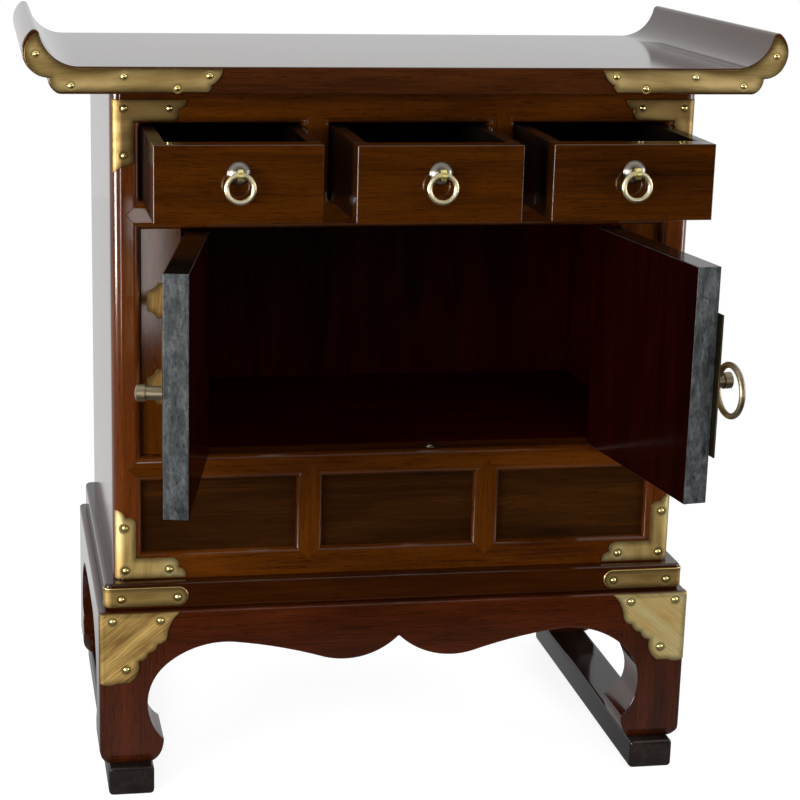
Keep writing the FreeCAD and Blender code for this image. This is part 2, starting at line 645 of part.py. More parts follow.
# Brass plates on the front.
def brass_pair(label, corners, back):
    """Makes the left and right copies of a brass plate on a face toward the front."""
    return group(label, [
        plate(f"{label}_{side}", "XZ_Plane", corners, "brass_thick", ("0", back, "0"), side)
        for side in (LEFT, RIGHT)])


def wrapped_pair(label, corners, face, core, skin):
    """Makes a pair of brass plates that follow the rounded faces of a block."""
    members = []
    for side in (LEFT, RIGHT):
        cutter = plate(f"{label}_cutter_{side}", "XZ_Plane", corners, "wrap_deep + 2 * brass_thick",
                       ("0", f"{face} + wrap_deep", "0"), side)
        shell = doc.addObject("Part::Common", f"{label}_shell_{side}")
        shell.Base = cutter
        shell.Tool = skin
        wrapped = doc.addObject("Part::Cut", f"{label}_{side}")
        wrapped.Base = shell
        wrapped.Tool = core
        members.append(wrapped)
    return group(label, members)


STRAP_LOW = f"({CASE_TOP} + strap_inset)"
STRAP_TOP = f"({CASE_TOP} + top_thick - strap_inset)"
STRAP_TIP = f"({TIP_Z} - strap_tip_drop)"
top_straps = brass_pair("top_straps", [
    (END_X, STRAP_TOP, IN, f"({COVE} - strap_tip_drop / 3)"),
    ("strap_inner", STRAP_TOP),
    ("(strap_inner + strap_notch_in)", f"({STRAP_LOW} + strap_notch_up)", OUT, "strap_bulge"),
    ("(strap_inner + strap_end_in)", STRAP_LOW, OUT, "strap_foot_bulge"),
    ("(top_length / 2 - scroll_foot)", STRAP_LOW),
    (f"({CUSP_X} - strap_inset)", CUSP_Z, OUT, "scroll_foot_bulge"),
    (f"({TIP_X} + strap_inset / 2)", STRAP_TIP, OUT, "(scroll_bulge - strap_inset)"),
], "-top_deep / 2")
for strap in top_straps.Links:
    round_edges(strap, lambda edge: lies_at(edge, "z", STRAP_TIP), "strap_tip_round")


def bracket_corners(corner_z, up):
    """Outline of a two-armed corner bracket with lobed ends."""
    x0 = f"({HALF_CASE} - bracket_side_in)"

    def at(along, across):
        return f"({x0} - ({along}))", f"({corner_z} + {up} * ({across}))"

    tip, inner = "bracket_arm", "(bracket_arm - bracket_end_in)"
    notch_at = "(bracket_arm - bracket_notch_in)"
    lobe = (OUT, "bracket_bulge")
    corners = [
        at("0", tip),
        at("bracket_notch", notch_at) + lobe,
        at("bracket_wide", inner) + lobe,
        at("bracket_wide", "bracket_wide"),
        at(inner, "bracket_wide"),
        at(notch_at, "bracket_notch") + lobe,
        at(tip, "0") + lobe,
        at("0", "0"),
    ]
    if up > 0:
        return corners
    # Seen upside down, the corners run the other way round.
    back = [corners[0]]
    for ahead, behind in zip([corners[0]] + corners[:0:-1], corners[:0:-1]):
        back.append(behind[:2] + tuple(ahead[2:]))
    return back


case_skin = rounded_block("case_skin", f"({HALF_CASE} + brass_thick)", "(case_deep / 2 + brass_thick)",
                          CASE_LOW, "case_tall", "corner_round + brass_thick")
high, low = f"({CASE_TOP} - bracket_high_in)", f"({CASE_LOW} + bracket_low_in)"
wrapped_pair("upper_brackets", bracket_corners(high, -1), FRONT, case_block, case_skin)
wrapped_pair("lower_brackets", bracket_corners(low, 1), FRONT, case_block, case_skin)
strap_end = "(plinth_wide / 2 + 2 * brass_thick)"
strap_low = f"({BASE_TOP} + plinth_tall / 2 - plinth_strap_tall / 2)"
strap_top = f"({BASE_TOP} + plinth_tall / 2 + plinth_strap_tall / 2)"
wrapped_pair("plinth_straps", [
    (strap_end, strap_low),
    (strap_end, strap_top),
    (f"({strap_end} - plinth_strap_long + plinth_strap_bulge)", strap_top),
    (f"({strap_end} - plinth_strap_long + plinth_strap_bulge)", strap_low, OUT, "plinth_strap_bulge"),
], "-plinth_deep / 2", plinth, plinth_block("plinth_skin", "brass_thick"))


def toe_plate():
    """Outline of a leg bracket: a hollow tip, three scallops and a large lobe."""
    x0 = "(base_wide / 2 - toe_plate_in)"
    z0 = f"({BASE_TOP} - toe_plate_in)"

    def at(along, down):
        return f"({x0} - ({along}))", f"({z0} - ({down}))"

    corners = [at("0", "0"), at("toe_plate_wide", "0"),
               at("toe_plate_wide - tip_long", "tip_drop") + (IN, "tip_hollow")]
    for count in (1, 2, 3):
        corners.append(at(f"toe_plate_wide - tip_long - {count} * scallop_along",
                          f"tip_drop + {count} * scallop_down") + (OUT, "scallop_bulge"))
    corners.append(at("toe_plate_wide - tip_long - 3 * scallop_along - belly_along", "toe_plate_tall")
                   + (OUT, "belly_bulge"))
    corners.append(at("heel_lobe", "toe_plate_tall"))
    corners.append(at("0", "toe_plate_tall") + (OUT, "heel_lobe_bulge"))
    return corners


wrapped_pair("leg_brackets", toe_plate(), "-base_deep / 2", base_block,
             base_shape("base_skin", "brass_thick"))

# Hinges: leaves on the fixed panels, pins, and leaves on the doors.
HINGE_LOW = f"({DOOR_LOW} + low_hinge_up)"
BORE = "(pin_radius + pin_play)"


def leaf_corners(middle):
    """Outline of a hinge leaf with a lobed end, from the pin outward."""
    tall, nose = "leaf_tall / 2", "leaf_nose / 2"
    return [
        ("0", f"({middle} - {tall})"),
        ("(leaf_long - leaf_step)", f"({middle} - {tall})"),
        ("leaf_long", f"({middle} - {nose})", IN, "leaf_step / 5"),
        ("leaf_long", f"({middle} + {nose})"),
        ("(leaf_long - leaf_step)", f"({middle} + {tall})", IN, "leaf_step / 5"),
        ("0", f"({middle} + {tall})"),
    ]


def hinge_leaf(label, body, middle, pin, way, knuckles):
    """Adds a leaf and its knuckles, cut for the pin and for the other leaf's knuckles."""
    pin_x, pin_y = pin
    plate(label, "XZ_Plane", leaf_corners(middle), "brass_thick",
          (pin_x, f"{pin_y} + barrel_radius", "0"), way, body)
    start = f"{middle} - leaf_tall / 2"
    rod(body, "Additive", "barrel_radius", "leaf_tall", (pin_x, pin_y, start))
    play = "(barrel_radius + knuckle_gap)"
    for low, high in knuckles:
        rod(body, "Subtractive", play, f"({high}) - ({low})", (pin_x, pin_y, f"{middle} + {low}"))
    rod(body, "Subtractive", BORE, "leaf_tall", (pin_x, pin_y, start))
    return body


middle_knuckle = [("-(knuckle_tall / 2 + knuckle_gap)", "knuckle_tall / 2 + knuckle_gap")]
end_knuckles = [("-leaf_tall / 2", "-knuckle_tall / 2"), ("knuckle_tall / 2", "leaf_tall / 2")]
fixed_leaves, pins = [], []
for side in (LEFT, RIGHT):
    for count in (0, 1):
        middle = f"({HINGE_LOW} + {count} * hinge_step)"
        pin = (f"{side} * {PIN_X}", PIN_Y)
        fixed = doc.addObject("PartDesign::Body", f"fixed_leaf_{side}_{count}")
        fixed_leaves.append(hinge_leaf(fixed.Label, fixed, middle, pin, side, middle_knuckle))
        pin_body = doc.addObject("PartDesign::Body", f"pin_{side}_{count}")
        rod(pin_body, "Additive", "pin_radius", "leaf_tall", (*pin, f"{middle} - leaf_tall / 2"))
        pins.append(pin_body)
group("fixed_hinge_leaves", fixed_leaves)
group("hinge_pins", pins)

# Floor catch for the right door.
catch = doc.addObject("PartDesign::Body", "floor_catch")
sketch = new_sketch(catch, "XZ_Plane", ("catch_out", f"{FRONT} + edge_round + catch_flange + ease_round",
                                        DOOR_LOW))
outline(sketch, [("0", "0"), ("catch_flange", "0"), ("catch_flange", "catch_flange_tall"),
                 ("catch_head", "catch_flange_tall"), ("catch_head", "catch_tall"), ("0", "catch_tall")])
turning = catch.newObject("PartDesign::Revolution", "catch_turning")
turning.Profile = sketch
turning.ReferenceAxis = (sketch, ["V_Axis"])
turning.Angle = 360.0
keep(catch, "floor_catch")


# Doors, each modelled closed with its pin at the origin and then turned open.
def door_body(label, side):
    """Makes a body that turns with a door."""
    body = doc.addObject("PartDesign::Body", label)
    body.Placement = Placement(Vector(), Rotation(Vector(0, 0, side), 45))
    bind(body, "Placement.Base.x", f"{side} * {PIN_X}")
    bind(body, "Placement.Base.y", PIN_Y)
    bind(body, "Placement.Rotation.Angle", "left_door_angle" if side == LEFT else "right_door_angle")
    return body


FREE_EDGE = f"(hinge_gap + {DOOR_WIDE})"
PLATE_MID = f"({DOOR_LOW} + plate_up)"
KNOB_U = f"({FREE_EDGE} - knob_in)"
PLATE_FACE = "(barrel_radius - brass_thick)"


def lock_plate_corners(edge):
    """Outline of a lock plate from the meeting edge inward, with lobed inner corners."""
    inner = f"({FREE_EDGE} - plate_wide)"
    corners = []
    for sign in (-1, 1):
        tall = f"({PLATE_MID} + {sign} * plate_tall / 2)"
        half = f"({PLATE_MID} + {sign} * (plate_tall / 2 - plate_step))"
        low = f"({PLATE_MID} + {sign} * (plate_tall / 2 - 2 * plate_step))"
        lobe = (OUT, "bracket_bulge")
        if sign < 0:
            corners += [(inner, low), (f"({inner} + plate_step)", half) + lobe,
                        (f"({inner} + 2 * plate_step)", tall) + lobe, (edge, tall)]
        else:
            corners += [(edge, tall), (f"({inner} + 2 * plate_step)", tall),
                        (f"({inner} + plate_step)", half) + lobe, (inner, low) + lobe]
    return corners


def knob(label, side):
    """Turns a knob on the lock plate of a door."""
    body = door_body(label, side)
    head = "(knob_neck_long + knob_head_long)"
    turned(body, [
        ("0", "0"),
        ("0", head),
        ("knob_head", f"({head} - knob_crown)", OUT, "knob_crown / 4"),
        ("knob_head", "knob_neck_long"),
        ("knob_neck", "knob_neck_long"),
        ("knob_neck", "0"),
    ], (f"{-side} * {KNOB_U}", PLATE_FACE, PLATE_MID))
    return body


for name, side in (("left", LEFT), ("right", RIGHT)):
    low, top = f"({DOOR_LOW} + door_gap)", f"({DOOR_TOP} - door_gap)"
    slab = [("hinge_gap", low), (FREE_EDGE, low), (FREE_EDGE, top), ("hinge_gap", top)]
    door = plate(f"{name}_door", "XZ_Plane", slab, "door_thick",
                 ("0", "barrel_radius + door_thick", "0"), -side, door_body(f"{name}_door", side))
    round_edges(door, lambda edge: True, "ease_round")
    keep(door, f"{name}_door")
    leaves = []
    for count in (0, 1):
        middle = f"({HINGE_LOW} + {count} * hinge_step)"
        body = door_body(f"{name}_leaf_{count}", side)
        leaves.append(hinge_leaf(body.Label, body, middle, ("0", "0"), -side, end_knuckles))
    group(f"{name}_door_leaves", leaves)

lip_end = f"({FREE_EDGE} + lip_long)"
left_edge = f"({FREE_EDGE} - lip_long + meeting_gap - lip_free)"
keep(plate("left_lock_plate", "XZ_Plane", lock_plate_corners(left_edge), "brass_thick",
           ("0", "barrel_radius", "0"), -LEFT, door_body("left_lock_plate", LEFT)), "left_lock_plate")
keep(plate("right_lock_plate", "XZ_Plane", lock_plate_corners(lip_end), "brass_thick",
           ("0", "barrel_radius", "0"), -RIGHT, door_body("right_lock_plate", RIGHT)), "right_lock_plate")
keep(knob("left_knob", LEFT), "left_knob")

# The right knob has a leaning bore, so the latch ring falls toward the other knob.
right_knob = knob("right_knob", RIGHT)
BORE_Y = f"({PLATE_FACE} - latch_out)"
reach = "(2 * knob_head)"
bore = rod(right_knob, "Subtractive", "latch_bore", f"2 * {reach}",
           (f"-{KNOB_U} + {reach} * sin(latch_tilt)", BORE_Y, f"{PLATE_MID} - {reach} * cos(latch_tilt)"))
bore.Placement = Placement(bore.Placement.Base, Rotation(Vector(0, -1, 0), 10))
bind(bore, "Placement.Rotation.Angle", "latch_tilt")
keep(right_knob, "right_knob")
latch_ring = door_body("latch_ring", RIGHT)
torus = latch_ring.newObject("PartDesign::AdditiveTorus", "latch_torus")
torus.Placement = Placement(Vector(), Rotation(Vector(1, 0, 0), 90))
bind(torus, "Radius1", "latch_radius")
bind(torus, "Radius2", "latch_wire")
swing = "(latch_radius - latch_slack)"
bind(torus, "Placement.Base.x", f"-{KNOB_U} - {swing} * cos(latch_tilt)")
bind(torus, "Placement.Base.y", BORE_Y)
bind(torus, "Placement.Base.z", f"{PLATE_MID} - {swing} * sin(latch_tilt)")
keep(latch_ring, "latch_ring")


# Drawers, modelled closed and then slid out.
def slide(obj, out, rest="0"):
    """Slides an object out of the case with its drawer."""
    bind(obj, "Placement.Base.y", f"{rest} - {out}")


FRONT_LOW = f"({DRAWER_LOW} + drawer_low_gap)"
FRONT_TOP = f"({DRAWER_TOP} - drawer_top_gap)"
WALL_FRONT = f"({FACE} + drawer_front_thick)"
WALL_BACK = f"({FACE} + drawer_long)"
PULL_Z = f"({FRONT_LOW} + pull_up)"
EYE_Y = f"({FACE} - eye_out)"
for name, number in (("left", -1), ("middle", 0), ("right", 1)):
    out = f"{name}_drawer_out"
    middle = f"({number} * 2 * {DIVIDER_X})"
    half = f"({DRAWER_WIDE} / 2 - drawer_side_gap)"
    low_x, high_x = f"{middle} - {half}", f"{middle} + {half}"
    front = plate(f"{name}_drawer_front", "XZ_Plane",
                  [(low_x, FRONT_LOW), (high_x, FRONT_LOW), (high_x, FRONT_TOP), (low_x, FRONT_TOP)],
                  "drawer_front_thick", ("0", WALL_FRONT, "0"))
    round_edges(front, lambda edge: True, "ease_round")
    slide(front, out)
    keep(front, f"{name}_drawer_front")

    walls_z = (FRONT_LOW, FRONT_TOP)
    floor_z = (f"{FRONT_LOW} + drawer_floor_up", f"{FRONT_LOW} + drawer_floor_up + drawer_floor")
    in_x = (f"{low_x} + drawer_wall", f"{high_x} - drawer_wall")
    walls_y = (WALL_FRONT, WALL_BACK)
    rear_y = (f"{WALL_BACK} - drawer_wall", WALL_BACK)
    boards = [
        board(f"{name}_wall_a", (low_x, in_x[0]), walls_y, walls_z, piece=False),
        board(f"{name}_wall_b", (in_x[1], high_x), walls_y, walls_z, piece=False),
        board(f"{name}_rear", in_x, rear_y, walls_z, piece=False),
        board(f"{name}_floor", in_x, (WALL_FRONT, rear_y[0]), floor_z, piece=False),
    ]
    slide(group(f"{name}_drawer_box", boards), out)

    pull = doc.addObject("PartDesign::Body", f"{name}_pull")
    turned(pull, [("0", "0"), ("0", "dome_tall"), ("dome_radius", "0", OUT, "dome_bulge")],
           (middle, FACE, PULL_Z))
    eye = (f"{middle} - eye_thick / 2", EYE_Y, PULL_Z)
    rod(pull, "Additive", "eye_radius", "eye_thick", eye, Vector(1, 0, 0))
    rod(pull, "Subtractive", "eye_bore", "eye_thick", eye, Vector(1, 0, 0))
    slide(pull, out)
    keep(pull, f"{name}_pull")

    ring = doc.addObject("Part::Torus", f"{name}_ring")
    ring.Placement = Placement(Vector(), Rotation(Vector(1, 0, 0), 90))
    bind(ring, "Radius1", "ring_radius")
    bind(ring, "Radius2", "ring_wire")
    bind(ring, "Placement.Base.x", middle)
    bind(ring, "Placement.Base.z", f"{PULL_Z} - ring_radius")
    slide(ring, out, EYE_Y)
    keep(ring, f"{name}_ring")

doc.recompute()
for obj in doc.Objects:
    if "Invalid" in obj.State or "Error" in obj.State:
        raise RuntimeError(f"{obj.Label} did not build: {obj.State}")
os.makedirs("parts", exist_ok=True)
for piece in pieces:
    if piece.Shape.isNull() or not piece.Shape.isValid():
        raise RuntimeError(f"{piece.Label} has no valid shape")
    piece.Shape.exportStep(f"parts/{piece.Label}.step")
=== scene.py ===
"""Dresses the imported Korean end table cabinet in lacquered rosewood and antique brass.

The pieces keep the places of the CAD nodes, and a small studio and the camera come last.
"""
import json
import logging
import math
from dataclasses import dataclass
from enum import Enum, IntEnum
from typing import Any, ClassVar, Sequence

import bpy
from mathutils import Matrix, Vector
from mathutils.kdtree import KDTree

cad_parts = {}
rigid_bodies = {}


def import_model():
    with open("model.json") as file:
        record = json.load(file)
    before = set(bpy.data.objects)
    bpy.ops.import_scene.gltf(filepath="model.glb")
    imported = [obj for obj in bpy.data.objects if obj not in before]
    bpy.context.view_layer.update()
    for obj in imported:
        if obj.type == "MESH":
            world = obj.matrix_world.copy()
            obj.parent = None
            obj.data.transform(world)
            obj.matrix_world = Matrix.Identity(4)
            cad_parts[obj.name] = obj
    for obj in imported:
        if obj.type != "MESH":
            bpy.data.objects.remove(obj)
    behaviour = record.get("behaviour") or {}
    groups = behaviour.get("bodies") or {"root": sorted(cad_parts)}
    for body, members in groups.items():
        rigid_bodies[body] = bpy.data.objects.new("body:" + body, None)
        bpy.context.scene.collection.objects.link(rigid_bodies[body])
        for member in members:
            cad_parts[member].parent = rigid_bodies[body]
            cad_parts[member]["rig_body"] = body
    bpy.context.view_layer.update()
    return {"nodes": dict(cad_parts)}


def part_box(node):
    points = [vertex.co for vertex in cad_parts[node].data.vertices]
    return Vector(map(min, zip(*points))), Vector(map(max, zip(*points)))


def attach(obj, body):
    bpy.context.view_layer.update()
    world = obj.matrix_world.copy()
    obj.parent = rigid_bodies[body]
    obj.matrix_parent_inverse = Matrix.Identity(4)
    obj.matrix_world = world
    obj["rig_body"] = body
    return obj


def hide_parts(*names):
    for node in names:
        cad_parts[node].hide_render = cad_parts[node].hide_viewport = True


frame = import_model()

log = logging.getLogger("cabinet")

MM = 0.001
MERGE = 0.002 * MM  # points nearer than this are one point
TOUCH = 0.02 * MM  # an edge nearer than this to a plane lies in it
FLAT = math.radians(0.4)  # faces that turn less than this are one face
SHARP = math.radians(22)  # edges that turn more than this get rounded
SMOOTH = math.radians(38)  # edges that turn more than this are shaded as edges
STOPS = (0.3, 0.5, 0.7)  # noise values that show a finish's dark, middle and light colour
PATINA = "patina"  # point attribute that darkens old brass
SIDES = (-1, 1)  # left and right, or front and back
Plane = tuple[str, float]


def linear(code: str) -> tuple[float, float, float, float]:
    """Turns an sRGB hex colour to linear red, green, blue and alpha.

    Args:
        code: Colour such as "#46200a".

    Returns:
        The four linear channels.
    """
    channels = [int(code[i:i + 2], 16) / 255 for i in (1, 3, 5)]
    red, green, blue = (
        c / 12.92 if c <= 0.04045 else ((c + 0.055) / 1.055) ** 2.4 for c in channels)
    return red, green, blue, 1.0


def add_node(tree: bpy.types.NodeTree, kind: str, inputs: dict[Any, Any] | None = None,
             **settings: Any) -> bpy.types.Node:
    """Adds a node with its settings, its numbers and its links.

    Args:
        tree: Node tree that gets the node.
        kind: Type of the node.
        inputs: Socket name or number to a number or to another node's output.
        **settings: Properties of the node.

    Returns:
        The new node.
    """
    node = tree.nodes.new(kind)
    for name, value in settings.items():
        setattr(node, name, value)
    for socket, value in (inputs or {}).items():
        if isinstance(value, bpy.types.NodeSocket):
            tree.links.new(value, node.inputs[socket])
        else:
            node.inputs[socket].default_value = value
    return node


def ramp(tree: bpy.types.NodeTree, value: bpy.types.NodeSocket,
         stops: Sequence[tuple[float, str]]) -> bpy.types.NodeSocket:
    """Colours a pattern by a ramp of hex colours.

    Args:
        tree: Node tree of the material.
        value: Pattern that picks the colour.
        stops: Position and colour of each stop, in rising order.

    Returns:
        The ramp's colour output.
    """
    node = add_node(tree, "ShaderNodeValToRGB", {"Fac": value})
    elements = node.color_ramp.elements
    while len(elements) < len(stops):
        elements.new(0.5)
    for element, (position, code) in zip(elements, stops):
        element.position = position
        element.color = linear(code)
    return node.outputs["Color"]


class Grain(Enum):
    """Axis that the grain of a board runs along."""

    X = 0
    Y = 1
    Z = 2

    def stretch(self, along_mm: float, across_mm: float) -> tuple[float, float, float]:
        """Gives the pattern scale, per metre, for figure of one size.

        Args:
            along_mm: Length of the figure along the grain.
            across_mm: Its width across the grain.

        Returns:
            The scale along X, Y and Z.
        """
        scale = [1 / (across_mm * MM)] * 3
        scale[self.value] = 1 / (along_mm * MM)
        return scale[0], scale[1], scale[2]


@dataclass(frozen=True)
class Lacquer:
    """Stained rosewood under sprayed lacquer.

    The stain gives dark brown figure with finer streaks, the open pores show as short dark
    dashes, and the lacquer lays a clear gloss over all of it that is a little uneven.
    """

    name: str
    dark: str
    middle: str
    light: str
    figure_mm: tuple[float, float] = (240.0, 26.0)
    streak_mm: tuple[float, float] = (60.0, 1.9)
    streak_share: float = 0.36
    pore_mm: tuple[float, float] = (11.0, 0.9)
    pore_share: float = 0.5
    pore_level: tuple[float, float] = (0.55, 0.7)
    pore_deep_mm: float = 0.03
    pore: str = "#0a0402"
    wood_roughness: float = 0.5
    wood_shine: float = 0.0
    gloss: float = 1.0
    gloss_roughness: float = 0.09
    gloss_ior: float = 1.5
    ripple_mm: float = 0.012
    peel_mm: float = 9.0

    def material(self, grain: Grain) -> bpy.types.Material:
        """Makes the finish for boards whose grain runs along one axis.

        Args:
            grain: Axis of the grain.

        Returns:
            The material, made once for each axis.
        """
        key = f"{self.name}_{grain.name.lower()}"
        if key in bpy.data.materials:
            return bpy.data.materials[key]
        material = bpy.data.materials.new(key)
        material.use_nodes = True
        tree = material.node_tree
        place = add_node(tree, "ShaderNodeTexCoord").outputs["Object"]
        figure = self.noise(tree, place, grain.stretch(*self.figure_mm), 4.0, 0.9)
        streak = self.noise(tree, place, grain.stretch(*self.streak_mm), 3.0, 0.2)
        # Real pores are 0.1 mm wide; they are drawn 0.9 mm wide so that they show.
        pores = self.noise(tree, place, grain.stretch(*self.pore_mm), 2.0, 0.0)
        pattern = add_node(tree, "ShaderNodeMix", {
            "Factor": self.streak_share, 2: figure, 3: streak})
        stain = ramp(tree, pattern.outputs[0],
                     list(zip(STOPS, (self.dark, self.middle, self.light))))
        low, high = self.pore_level
        dash = add_node(tree, "ShaderNodeMapRange", {
            0: pores, 1: low, 2: high, 3: 0.0, 4: self.pore_share})
        colour = add_node(tree, "ShaderNodeMix", {
            0: dash.outputs[0], 6: stain, 7: linear(self.pore)}, data_type="RGBA")
        peel = add_node(tree, "ShaderNodeTexNoise", {
            "Vector": place, "Scale": 1 / (self.peel_mm * MM), "Detail": 2.0})
        ripple = add_node(tree, "ShaderNodeBump", {
            "Height": peel.outputs["Fac"], "Strength": 1.0, "Distance": self.ripple_mm * MM})
        dent = add_node(tree, "ShaderNodeBump", {
            "Height": dash.outputs[0], "Strength": 0.6, "Distance": self.pore_deep_mm * MM,
            "Normal": ripple.outputs[0]}, invert=True)
        shader = tree.nodes["Principled BSDF"]
        shader.inputs["Roughness"].default_value = self.wood_roughness
        shader.inputs["Specular IOR Level"].default_value = self.wood_shine
        shader.inputs["Coat Weight"].default_value = self.gloss
        shader.inputs["Coat Roughness"].default_value = self.gloss_roughness
        shader.inputs["Coat IOR"].default_value = self.gloss_ior
        tree.links.new(colour.outputs[2], shader.inputs["Base Color"])
        tree.links.new(dent.outputs[0], shader.inputs["Normal"])
        tree.links.new(ripple.outputs[0], shader.inputs["Coat Normal"])
        return material

    @staticmethod
    def noise(tree: bpy.types.NodeTree, place: bpy.types.NodeSocket,
              scale: tuple[float, float, float], detail: float,
              distortion: float) -> bpy.types.NodeSocket:
        """Adds a noise that is stretched along the grain.

        Args:
            tree: Node tree of the material.
            place: Coordinates of the surface.
            scale: Scale of the noise along each axis.
            detail: Finer steps of the noise.
            distortion: How much the figure wavers.

        Returns:
            The noise's value.
        """
        mapping = add_node(tree, "ShaderNodeMapping", {"Vector": place, "Scale": scale})
        node = add_node(tree, "ShaderNodeTexNoise", {
            "Vector": mapping.outputs[0], "Scale": 1.0, "Detail": detail, "Distortion": distortion})
        return node.outputs["Fac"]


class Brushing(Enum):
    """How the surface of a metal part was worked, with the turn of its scratches in degrees."""

    DIAGONAL = 38.0
    LEVEL = 4.0
    UPRIGHT = 86.0


@dataclass(frozen=True)
class Metal:
    """Brass or bronze with a tarnish that is rubbed away in places.

    Brushed plates carry fine scratches in one direction, and old brass is darker and rougher
    where the tarnish stays. Some plates are also drawn lighter toward the right: painted light
    from the lamps on that side.
    """

    name: str
    tarnish: str
    middle: str
    rubbed: str
    roughness: float
    brushing: Brushing = Brushing.DIAGONAL
    scratch_mm: float = 0.02
    scratch_share: float = 0.3
    # how much lighter the right-hand plates are drawn: painted light
    lit_from_right: float = 0.0
    aged: float = 0.85
    patina: str = "#33260f"
    SCRATCH_MM: ClassVar[tuple[float, float, float]] = (30.0, 3.0, 0.8)
    PATCH_MM: ClassVar[tuple[float, float, float]] = (70.0, 30.0, 15.0)
    HALF_LENGTH_M: ClassVar[float] = 0.3
    WEAR_AND_LIGHT: ClassVar[tuple[float, float]] = (0.35, 0.65)
    ROUGHER: ClassVar[float] = 1.2
    SMOOTHER: ClassVar[float] = 0.85
    made: ClassVar[set[str]] = set()

    def material(self) -> bpy.types.Material:
        """Makes the finish and notes its name among the metals in use.

        Returns:
            The material, made once.
        """
        if self.name in bpy.data.materials:
            return bpy.data.materials[self.name]
        material = bpy.data.materials.new(self.name)
        self.made.add(self.name)
        material.use_nodes = True
        tree = material.node_tree
        place = add_node(tree, "ShaderNodeTexCoord").outputs["Object"]
        # The plates are made in pairs, so the brushing is mirrored about the middle of the front.
        across = add_node(tree, "ShaderNodeVectorMath", {
            0: place, 1: (1.0, 0.0, 0.0)}, operation="MULTIPLY")
        beside = add_node(tree, "ShaderNodeVectorMath", {
            0: across.outputs[0]}, operation="ABSOLUTE")
        upright = add_node(tree, "ShaderNodeVectorMath", {
            0: place, 1: (0.0, 1.0, 1.0)}, operation="MULTIPLY")
        paired = add_node(tree, "ShaderNodeVectorMath", {
            0: beside.outputs[0], 1: upright.outputs[0]}).outputs[0]
        # Brush scratches are about 0.1 mm apart; they are drawn 0.8 mm apart so that they show.
        scratch = self.strokes(tree, paired, self.SCRATCH_MM, 2.0)
        patch = self.strokes(tree, paired, self.PATCH_MM, 4.0)
        blend = add_node(tree, "ShaderNodeMix", {
            "Factor": self.scratch_share, 2: patch, 3: scratch})
        # Painted light: the right-hand plates are drawn brighter than the left-hand ones, as if the
        # lamps on the right lit them more.
        side = add_node(tree, "ShaderNodeSeparateXYZ", {0: place}).outputs["X"]
        right_lift = add_node(tree, "ShaderNodeMapRange", {
            0: side, 1: -self.HALF_LENGTH_M, 2: self.HALF_LENGTH_M,
            3: -self.lit_from_right, 4: self.lit_from_right})
        wear_and_light = add_node(tree, "ShaderNodeMath", {
            0: blend.outputs[0], 1: right_lift.outputs[0]}).outputs[0]
        worn_and_lit = ramp(tree, wear_and_light, list(zip(STOPS, (self.tarnish, self.middle, self.rubbed))))
        stain = add_node(tree, "ShaderNodeAttribute", attribute_name=PATINA)
        share = add_node(tree, "ShaderNodeMapRange", {
            0: stain.outputs["Fac"], 1: 0.0, 2: 1.0, 3: 0.0, 4: self.aged})
        colour = add_node(tree, "ShaderNodeMix", {
            0: share.outputs[0], 6: worn_and_lit, 7: linear(self.patina)}, data_type="RGBA")
        low, high = self.WEAR_AND_LIGHT
        rough = add_node(tree, "ShaderNodeMapRange", {
            0: wear_and_light, 1: low, 2: high,
            3: self.roughness * self.ROUGHER, 4: self.roughness * self.SMOOTHER})
        dent = add_node(tree, "ShaderNodeBump", {
            "Height": scratch, "Strength": 0.5, "Distance": self.scratch_mm * MM})
        shader = tree.nodes["Principled BSDF"]
        shader.inputs["Metallic"].default_value = 1.0
        tree.links.new(colour.outputs[2], shader.inputs["Base Color"])
        tree.links.new(rough.outputs[0], shader.inputs["Roughness"])
        tree.links.new(dent.outputs[0], shader.inputs["Normal"])
        return material

    def strokes(self, tree: bpy.types.NodeTree, place: bpy.types.NodeSocket,
                size_mm: tuple[float, float, float], detail: float) -> bpy.types.NodeSocket:
        """Adds a noise that is stretched along the brushing.

        Args:
            tree: Node tree of the material.
            place: Coordinates of the surface.
            size_mm: Length, depth and width of one stroke.
            detail: Finer steps of the noise.

        Returns:
            The noise's value.
        """
        turn = add_node(tree, "ShaderNodeMapping", {
            "Vector": place, "Rotation": (0.0, math.radians(self.brushing.value), 0.0),
            "Scale": tuple(size * MM for size in size_mm)}, vector_type="TEXTURE")
        node = add_node(tree, "ShaderNodeTexNoise", {
            "Vector": turn.outputs[0], "Scale": 1.0, "Detail": detail})
        return node.outputs["Fac"]


# Rosewood, planed, stained dark and sprayed with clear lacquer: deep brown with darker figure
# and short pores, under a clear reflection. The stain differs a little from board to board,
# but the posts' lighter finish is painted light.
FRAME_LACQUER = Lacquer("rosewood_frame_lacquer", "#280e02", "#442002", "#562b06")
# Painted light: the posts are drawn lighter and redder than the rails, as if the lamp on the left
# lit them.
LIT_POST_LACQUER = Lacquer("rosewood_post_painted_light", "#301205", "#502508", "#62300e",
                       gloss_roughness=0.13)
TOP_LACQUER = Lacquer("rosewood_top_lacquer", "#200d04", "#381a08", "#48250d")
PANEL_LACQUER = Lacquer("rosewood_panel_lacquer", "#160a02", "#281304", "#361c06")
DRAWER_LACQUER = Lacquer("rosewood_drawer_lacquer", "#1c0a01", "#341701", "#452102")
PLINTH_LACQUER = Lacquer("rosewood_plinth_lacquer", "#160701", "#280f01", "#351603")
LEG_LACQUER = Lacquer("rosewood_leg_lacquer", "#1f0a02", "#361405", "#461c09")
# The runners are stained nearly black under a thinner coat: dark, with softer reflections.
RUNNER_LACQUER = Lacquer("runner_lacquer", "#100c0a", "#1c1614", "#2a211d",
                         gloss=0.75, gloss_roughness=0.12)
